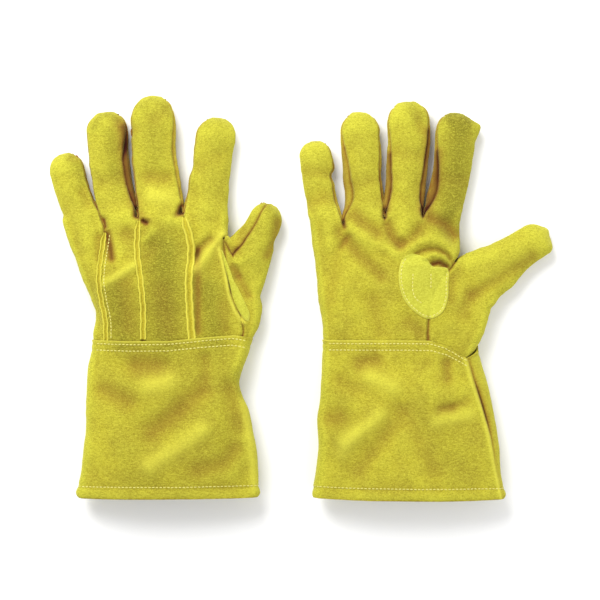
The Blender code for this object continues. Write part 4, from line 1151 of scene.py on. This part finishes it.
def from_above(tree, points, sign=1):
    """The highest places on the leather (sign -1: the lowest) at these plan points, and their normals."""
    places, normals = [], []
    for p in points:
        place, normal, _, _ = tree.ray_cast(Vector((p[0], p[1], 100 * sign)), Vector((0, 0, -sign)))
        if place is None:
            place, normal, _, _ = tree.find_nearest(Vector((p[0], p[1], 12 + 8 * sign)))
        places.append(place)
        normals.append(normal)
    return np.array(places), np.array(normals)


def spaced(points, pitch):
    """Points at this spacing along a line of points."""
    steps = np.linalg.norm(np.diff(points, axis=0), axis=1)
    run = np.concatenate([[0], np.cumsum(steps)])
    stations = np.arange(pitch / 2, run[-1], pitch)
    return np.stack([np.interp(stations, run, points[:, k]) for k in range(points.shape[1])], axis=1)


def stitch(place, tangent, normal, lean):
    """One stitch's points: a short rounded bar of thread, half sunk in the leather and leaning a little."""
    t = tangent / np.linalg.norm(tangent)
    n = normal - t * (normal @ t)
    n /= np.linalg.norm(n)
    t = t * math.cos(lean) + np.cross(n, t) * math.sin(lean)
    b = np.cross(n, t)
    points = []
    for along, swell in STITCH_PROFILE:
        centre = place + t * along * STITCH_LENGTH + n * (STITCH_RISE - STITCH_SINK * (2 * along) ** 2)
        radius = STITCH_RADIUS * swell
        for k in range(STITCH_SIDES):
            turn = 2 * math.pi * k / STITCH_SIDES
            points.append(centre + b * radius * math.cos(turn) + n * radius * 0.8 * math.sin(turn))
    return points


def stitches(name, rows, material):
    """Rows of single stitches as one object."""
    points, faces = [], []
    for places, normals in rows:
        for i, tangent in enumerate(np.gradient(places, axis=0)):
            around = tube(len(STITCH_PROFILE), STITCH_SIDES, len(points))
            faces += [face[:1] + face[:0:-1] for face in around]
            points += stitch(places[i], tangent, normals[i], STITCH_LEAN * math.sin(i * 2.4))
    return make_object(name, np.array(points), faces, material, 60.0)


def welt(name, glove, hand, tree, seam, material):
    """A raised seam on the back of the hand: two turned-up edges of leather side by side."""
    upper = not glove["palm_up"]
    sign = 1 if upper else -1
    v = np.linspace(*WELT_SPAN, 60)
    line = hand.points(float(seam), v, upper)[:, 0]
    across = sideways(line)
    steps = np.arange(len(v))
    wave = 0.22 * np.sin(steps * 0.9) + 0.15 * np.sin(steps * 2.3)
    narrow = 0.45 + 0.55 * smoothstep((WELT_SPAN[1] - v) / 0.07)
    strands = []
    for out, up in WELT_PROFILE:
        strand = line.copy()
        strand[:, :2] += across * (out * narrow * WELT_WIDTHS[seam] + wave)[:, None]
        height = from_above(tree, strand, sign)[0][:, 2]
        for _ in range(8):
            height[1:-1] = (height[:-2] + 2 * height[1:-1] + height[2:]) / 4
        strand[:, 2] = height + sign * (WELT_LIFT + (up if up < 0 else up * narrow))
        strands.append(strand)
    points = np.stack(strands, axis=1).reshape(-1, 3)
    points[:, 2] = np.maximum(points[:, 2], INSIDE_LEAST_HEIGHT)
    faces = tube(len(v), len(WELT_PROFILE))
    # A highlight painted on the turned-up edges.
    edge = [smoothstep((abs(out) - 1.0) / 0.6) * (up > 0) for out, up in WELT_PROFILE]
    fields = plain_fields(np.tile(edge, len(v)))
    return make_object(name, points, faces if upper else flipped(faces), material, 50.0, fields)


def closed_curve(points, count):
    """Points round the smooth closed curve through these points."""
    p = np.array(points, float)
    looped = np.concatenate([p[-3:], p, p[:3]])
    gaps = np.linalg.norm(np.diff(looped, axis=0), axis=1)
    run = np.concatenate([[0], np.cumsum(gaps)]) / gaps.sum()
    t = np.linspace(run[3], run[3 + len(p)], count + 1)[:-1]
    return smooth(looped, t)


def calmed(heights, offsets, calm):
    """These heights, drawn by this share towards the smooth dish that fits them best, but not far down."""
    x, y = offsets.T
    shape = np.stack([np.ones(len(x)), x, y, x * x, x * y, y * y], axis=1)
    even = shape @ np.linalg.lstsq(shape, heights, rcond=None)[0]
    return np.maximum(heights + calm * (even - heights), heights - 0.4)


def disc(sides, rings):
    """The faces of a disc: a point, and rings of points round it."""
    faces = []
    for k in range(sides):
        n = (k + 1) % sides
        faces.append((0, 1 + k, 1 + n))
        for a in range(1, 1 + (rings - 1) * sides, sides):
            faces.append((a + k, a + sides + k, a + sides + n, a + n))
    return faces


def patch(name, glove, tree, material):
    """The crotch patch, one piece of smoother leather draped over the thumb seam. Also its stitch lines."""
    sides, rings = ((120, 26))
    outline = closed_curve(PATCHES[glove["name"]], sides)
    centre = outline.mean(axis=0)
    shares = np.sqrt(np.linspace(0, 1, rings + 1))[1:]
    shares[-3:] = (0.975, 0.99, 1.0)
    plan = np.concatenate([[centre]] + [centre + (outline - centre) * s for s in shares])
    share = np.concatenate([[0.0], np.repeat(shares, sides)])
    inset = (1 - share) * np.linalg.norm(outline - centre, axis=1).mean()
    places, _ = from_above(tree, plan)
    shown = 1 - 0.8 * smoothstep((plan[:, 1] - 28) / 7) if glove["palm_up"] else np.ones(len(plan))
    swell = PATCH_SWELL * np.sqrt(1 - bell(inset, 0.7)) + 0.2
    top = places.copy()
    top[:, 2] = calmed(places[:, 2], plan - centre, smoothstep(inset / 5) * 0.8) + swell * shown
    lines = stitch_lines(glove["name"], outline, centre)
    for line in lines:
        top[:, 2] -= 0.45 * bell(line_distance(top, line), 1.0)
    under = places - np.array([0, 0, 0.5])
    faces = disc(sides, rings)
    count = len(plan)
    last = [count - sides + k for k in range(sides)]
    rims = [(b, a, a + count, b + count) for a, b in zip(last, last[1:] + last[:1])]
    closed = faces + flipped([tuple(v + count for v in face) for face in faces]) + rims
    # A highlight painted round the rim, fading out towards the top on the palm.
    fields = plain_fields(np.concatenate([shown * bell(inset, 1.0), np.zeros(count)]))
    obj = make_object(name, np.concatenate([top, under]), closed, material, 50.0, fields)
    return obj, BVHTree.FromPolygons(top.tolist(), faces), lines


def stitch_lines(side, outline, centre):
    """The stitch rows of a patch in plan, only on the palm: one inside its edge and two more across it."""
    if side == "left":
        return []
    inner = centre + (outline - centre) * (1 - 2.1 / np.linalg.norm(outline - centre, axis=1))[:, None]
    around = inner[(inner[:, 1] < 24) | (inner[:, 0] < 88)]
    start = int(np.argmax(np.linalg.norm(np.diff(around, axis=0, append=around[:1]), axis=1))) + 1
    around = np.roll(around, -start, axis=0)
    second = smooth([(92.5, 22), (92.2, 8), (95, 1), (101, -3.5)], np.linspace(0, 1, 30))
    third = smooth([(107.3, 22), (107.3, 12), (107, 9)], np.linspace(0, 1, 16))
    return [around, second, third]


# ---------------------------------------------------------------- materials


class Shader:
    """A material in the making, with its nodes."""

    def __init__(self, name, roughness):
        self.material = bpy.data.materials.new(name)
        self.material.use_nodes = True
        self.nodes, self.links = self.material.node_tree.nodes, self.material.node_tree.links
        self.inputs = self.nodes["Principled BSDF"].inputs
        self.inputs["Roughness"].default_value = roughness

    def attribute(self, name, output="Fac"):
        node = self.nodes.new("ShaderNodeAttribute")
        node.attribute_name = name
        return node.outputs[output]

    def noise(self, place, scale, detail, rough=0.5):
        node = self.nodes.new("ShaderNodeTexNoise")
        node.inputs["Scale"].default_value = scale
        node.inputs["Detail"].default_value = detail
        node.inputs["Roughness"].default_value = rough
        self.links.new(place, node.inputs["Vector"])
        return node.outputs["Fac"]

    def ranged(self, value, low, high, most=1.0):
        """0 where the value is low, most where it is high, and held beyond both."""
        node = self.nodes.new("ShaderNodeMapRange")
        for key, number in (("From Min", low), ("From Max", high), ("To Max", most)):
            node.inputs[key].default_value = number
        self.links.new(value, node.inputs["Value"])
        return node.outputs["Result"]

    def mixed(self, factor, first, second):
        """A colour between two colours, each a tuple or a socket."""
        node = self.nodes.new("ShaderNodeMix")
        node.data_type = "RGBA"
        self.links.new(factor, node.inputs["Factor"])
        for key, colour in (("A", first), ("B", second)):
            socket = next(s for s in node.inputs if s.name == key and s.type == "RGBA")
            if isinstance(colour, tuple):
                socket.default_value = (*colour, 1)
            else:
                self.links.new(colour, socket)
        return next(s for s in node.outputs if s.type == "RGBA")

    def combined(self, operation, first, second):
        """The sum or product of a socket and a number or another socket, held between 0 and 1."""
        node = self.nodes.new("ShaderNodeMath")
        node.operation = operation
        node.use_clamp = True
        for socket, value in zip(node.inputs, (first, second)):
            if isinstance(value, (int, float)):
                socket.default_value = value
            else:
                self.links.new(value, socket)
        return node.outputs[0]

    def brushed(self, place):
        """The place with its directions stretched, so that noise on it lies in short strokes."""
        node = self.nodes.new("ShaderNodeVectorMath")
        node.operation = "MULTIPLY"
        node.inputs[1].default_value = BRUSH_STRETCH
        self.links.new(place, node.inputs[0])
        return node.outputs["Vector"]

    def roughen(self, height, strength, distance):
        node = self.nodes.new("ShaderNodeBump")
        node.inputs["Strength"].default_value = strength
        node.inputs["Distance"].default_value = distance
        self.links.new(height, node.inputs["Height"])
        self.links.new(node.outputs["Normal"], self.inputs["Normal"])


def tinted(colour, factors):
    return tuple(c * f for c, f in zip(colour, factors))


def suede(name, light, shade, nap, bump, highlight_colour=None):
    """Brushed split leather: mottled, with a fine nap, painted highlights and painted shade, and darker tones.
    """
    s = Shader(name, 0.95)
    s.inputs["Sheen Weight"].default_value = 0.5
    s.inputs["Sheen Roughness"].default_value = 0.4
    s.inputs["Sheen Tint"].default_value = SHEEN
    s.inputs["Specular IOR Level"].default_value = 0.06
    place = s.attribute("rest_place", "Vector")
    colour = s.mixed(s.ranged(s.noise(place, 48, 3), 0.36, 0.64), light, shade)
    # A highlight painted on ridges, and shade painted in hollows.
    ridge_highlight = s.ranged(s.attribute("hollow"), 0.0, -1.3, 0.8)
    colour = s.mixed(ridge_highlight, colour, tinted(light, RIDGE_HIGHLIGHT_TINT))
    hollow_shade = s.ranged(s.attribute("hollow"), 0.05, 1.5, 0.85)
    colour = s.mixed(hollow_shade, colour, tinted(shade, HOLLOW_SHADE_TINT))
    # Darker tones: painted shade on fingertips and edges, and broad darker areas.
    darker_tone = s.ranged(s.attribute("tone"), 0.0, 1.6)
    colour = s.mixed(darker_tone, colour, tinted(shade, DARKER_TONE_TINT))
    brushed = s.brushed(place)
    coarse, fine = s.noise(brushed, 360, 3, 0.7), s.noise(brushed, 1000, 3, 0.75)
    for texture, strength in ((coarse, nap * 0.7), (fine, nap)):
        dark = s.combined("MULTIPLY", s.ranged(texture, 0.48, 0.66), strength)
        colour = s.mixed(dark, colour, tinted(shade, DARK_NAP))
        pale = s.combined("MULTIPLY", s.ranged(texture, 0.5, 0.34), strength)
        colour = s.mixed(pale, colour, tinted(light, PALE_NAP))
    # Brown shade painted where closed in, in creases and seams, darker in the deepest; also the hem's specks.
    occlusion_shade = s.ranged(s.attribute("hidden"), 0.3, 1.0)
    shade_and_hem_specks = s.combined("ADD", occlusion_shade, s.combined("MULTIPLY", s.attribute("crease"), 0.62))
    colour = s.mixed(shade_and_hem_specks, colour, SHADE_AND_HEM_BROWN)
    colour = s.mixed(s.ranged(s.attribute("crease"), 0.9, 1.6), colour, PIT_SHADE_BROWN)
    # A highlight painted on ridges, edges and rims.
    if highlight_colour:
        colour = s.mixed(s.ranged(s.attribute("edge"), 0.0, 1.0), colour, highlight_colour)
    s.links.new(colour, s.inputs["Base Color"])
    height = s.combined("MULTIPLY", coarse, 0.6)
    s.roughen(s.combined("ADD", height, s.combined("MULTIPLY", fine, 0.4)), bump, 1.2 * MM)
    return s.material


def thread_material():
    s = Shader("pale_sewing_thread", 0.75)
    tone = s.ranged(s.noise(s.attribute("rest_place", "Vector"), 900, 2), 0.3, 0.7)
    s.links.new(s.mixed(tone, (0.72, 0.68, 0.2), (0.56, 0.5, 0.1)), s.inputs["Base Color"])
    return s.material


def floor_material():
    s = Shader("pale_floor", 0.9)
    s.inputs["Base Color"].default_value = (0.93, 0.93, 0.93, 1)
    s.inputs["Specular IOR Level"].default_value = 0.0
    return s.material


# ---------------------------------------------------------------- putting the gloves together


def root_and_fold(stall):
    """Where a stall's bend starts and ends, measured square to its root, which stays with the hand."""
    low, high = (stall.hand.seam(k, stall.v)[0] for k in (stall.k, stall.k + 1))
    outward = np.array([low[1] - high[1], high[0] - low[0]]) / np.linalg.norm(high - low)
    fold = THUMB_HINGE if stall.finger == "thumb" else FINGER_HINGE
    middle = (low + high) / 2
    height = stall.height(np.array([fold]))[0]
    return [world((*(middle + outward * reach), height)) for reach in (BEND_START, 2 * fold - BEND_START)]


def build_hand(side, stalls, sheet, materials):
    """The hand's panels. Those of the hand stay with it; the fingers' are left where they lie."""
    for panel in sheet.panels:
        finger = panel.split("_")[0]
        strip = panel.endswith("side_strip")
        # The side strips take the darker, browner suede, as painted shade.
        material = materials["strip" if strip else "suede"]
        piece = leather_piece(f"{side}_{panel}_suede", sheet, panel, material)
        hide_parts(f"{side}_{panel}")
        if finger in FINGERS and panel != "thumb_base":
            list(root_and_fold(stalls[finger]))
            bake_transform(piece)
        else:
            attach(piece, f"{side}_hand")


def build_gauntlet(glove, cuff, materials):
    """The gauntlet, left where it lies."""
    side = glove["name"]
    piece = leather_piece(f"{side}_gauntlet_suede", cuff, "gauntlet", materials["suede"])
    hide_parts(f"{side}_gauntlet", f"{side}_cuff_band")
    middle_x = 0.5 * (across_at(glove["cuff_left"], WRIST_Y) + across_at(glove["cuff_right"], WRIST_Y))
    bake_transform(piece)


def build_welts(glove, hand, tree, materials):
    side = glove["name"]
    for seam, name in ((1, "little_ring"), (2, "ring_middle"), (3, "middle_index")):
        piece = welt(f"{side}_welt_{name}_suede", glove, hand, tree, seam, materials["welt"])
        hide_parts(f"{side}_welt_{name}")
        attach(piece, f"{side}_hand")


def build_patch(glove, tree, materials):
    """The crotch patch with its own stitches."""
    side = glove["name"]
    piece, drape, lines = patch(f"{side}_crotch_patch_leather", glove, tree, materials["patch"])
    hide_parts(f"{side}_crotch_patch")
    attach(piece, f"{side}_hand")
    if lines:
        rows = [from_above(drape, spaced(line, STITCH_PITCH)) for line in lines]
        add_stitches(f"{side}_patch_stitches", rows, materials, f"{side}_hand")


def add_stitches(name, rows, materials, body):
    piece = stitches(name, rows, materials["thread"])
    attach(piece, body)
    return piece


def build_cuff_stitches(side, hand, cuff_tree, materials):
    """Two rows along the gauntlet's top edge, front and back, and one row round its hem."""
    rows = []
    for inset in STITCH_INSETS:
        for start in (0, 2):
            ring = np.linspace(start + 0.01, start + 0.99, 150)
            row = spaced(cuff_points(hand, ring, inset / CUFF_LENGTH)[0], STITCH_PITCH)
            rows.append(on_surface(cuff_tree, row))
    piece = add_stitches(f"{side}_cuff_stitches", rows, materials, f"{side}_hand")
    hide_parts(f"{side}_cuff_stitching")
    ring = np.linspace(0, 4, 400, endpoint=False)
    hem = spaced(cuff_points(hand, ring, 1 - HEM_DEPTH / CUFF_LENGTH)[0], STITCH_PITCH)
    rows = [on_surface(cuff_tree, hem)]
    piece = add_stitches(f"{side}_hem_stitches", rows, materials, f"{side}_gauntlet")
    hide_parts(f"{side}_hem_stitching")


def build_back_stitches(side, hand, tree, materials):
    """The row beside the back's first seam."""
    line = hand.points(1.0, np.linspace(0.11, 0.97, 80), True)[:, 0]
    line[:, :2] += sideways(line) * BACK_STITCH_OFFSET
    row = from_above(tree, spaced(line, STITCH_PITCH * 0.9))
    add_stitches(f"{side}_back_seam_stitches", [row], materials, f"{side}_hand")


def build_glove(glove, materials, parts):
    hand, stalls, sheet, cuff = parts
    side, tree = glove["name"], sheet.tree()
    build_hand(side, stalls, sheet, materials)
    build_gauntlet(glove, cuff, materials)
    build_welts(glove, hand, tree, materials)
    build_patch(glove, tree, materials)
    build_cuff_stitches(side, hand, cuff.tree(), materials)
    if not glove["palm_up"]:
        build_back_stitches(side, hand, tree, materials)


def build_gloves():
    materials = {key: suede(*values) for key, values in SUEDES.items()}
    materials["thread"] = thread_material()
    made = []
    for glove in GLOVES:
        hand, stalls, sheet = glove_leather(glove)
        made.append((hand, stalls, sheet, cuff_leather(glove, hand)))
    for glove, parts in zip(GLOVES, made):
        trees = [sheet.tree() for sheet in parts[2:]]
        for sheet in parts[2:]:
            shade_fields(sheet, trees)
        build_glove(glove, materials, parts)


# ---------------------------------------------------------------- floor, light and camera


def area_light(name, place, power):
    """A softbox at this place, turned to the gloves."""
    lamp = bpy.data.lights.new(name, "AREA")
    lamp.size = SOFTBOX_SIZE
    lamp.energy = power
    obj = bpy.data.objects.new(name, lamp)
    obj.location = place
    obj.rotation_euler = (-Vector(place)).to_track_quat("-Z", "Y").to_euler()
    bpy.context.scene.collection.objects.link(obj)


def build_studio():
    mesh = bpy.data.meshes.new("studio_floor")
    corners = [(x * FLOOR_REACH, y * FLOOR_REACH, 0) for x, y in ((-1, -1), (1, -1), (1, 1), (-1, 1))]
    mesh.from_pydata(corners, [], [(0, 1, 2, 3)])
    mesh.materials.append(floor_material())
    floor = bpy.data.objects.new("studio_floor", mesh)
    bpy.context.scene.collection.objects.link(floor)
    world_shader = bpy.data.worlds.new("studio")
    world_shader.use_nodes = True
    background = world_shader.node_tree.nodes["Background"]
    background.inputs["Color"].default_value = (1, 1, 1, 1)
    background.inputs["Strength"].default_value = BACKGROUND
    bpy.context.scene.world = world_shader
    for name, (place, power) in SOFTBOXES.items():
        area_light(name, place, power)

    camera = bpy.data.objects.new("camera", bpy.data.cameras.new("camera"))
    camera.data.lens = LENS
    camera.data.sensor_width = SENSOR
    camera.location = (SHIFT[0], SHIFT[1], PICTURE_WIDTH * LENS / SENSOR + PICTURE_HEIGHT)
    bpy.context.scene.collection.objects.link(camera)
    bpy.context.scene.camera = camera
    bpy.context.scene.view_settings.view_transform = "Standard"


build_gloves()
build_studio()
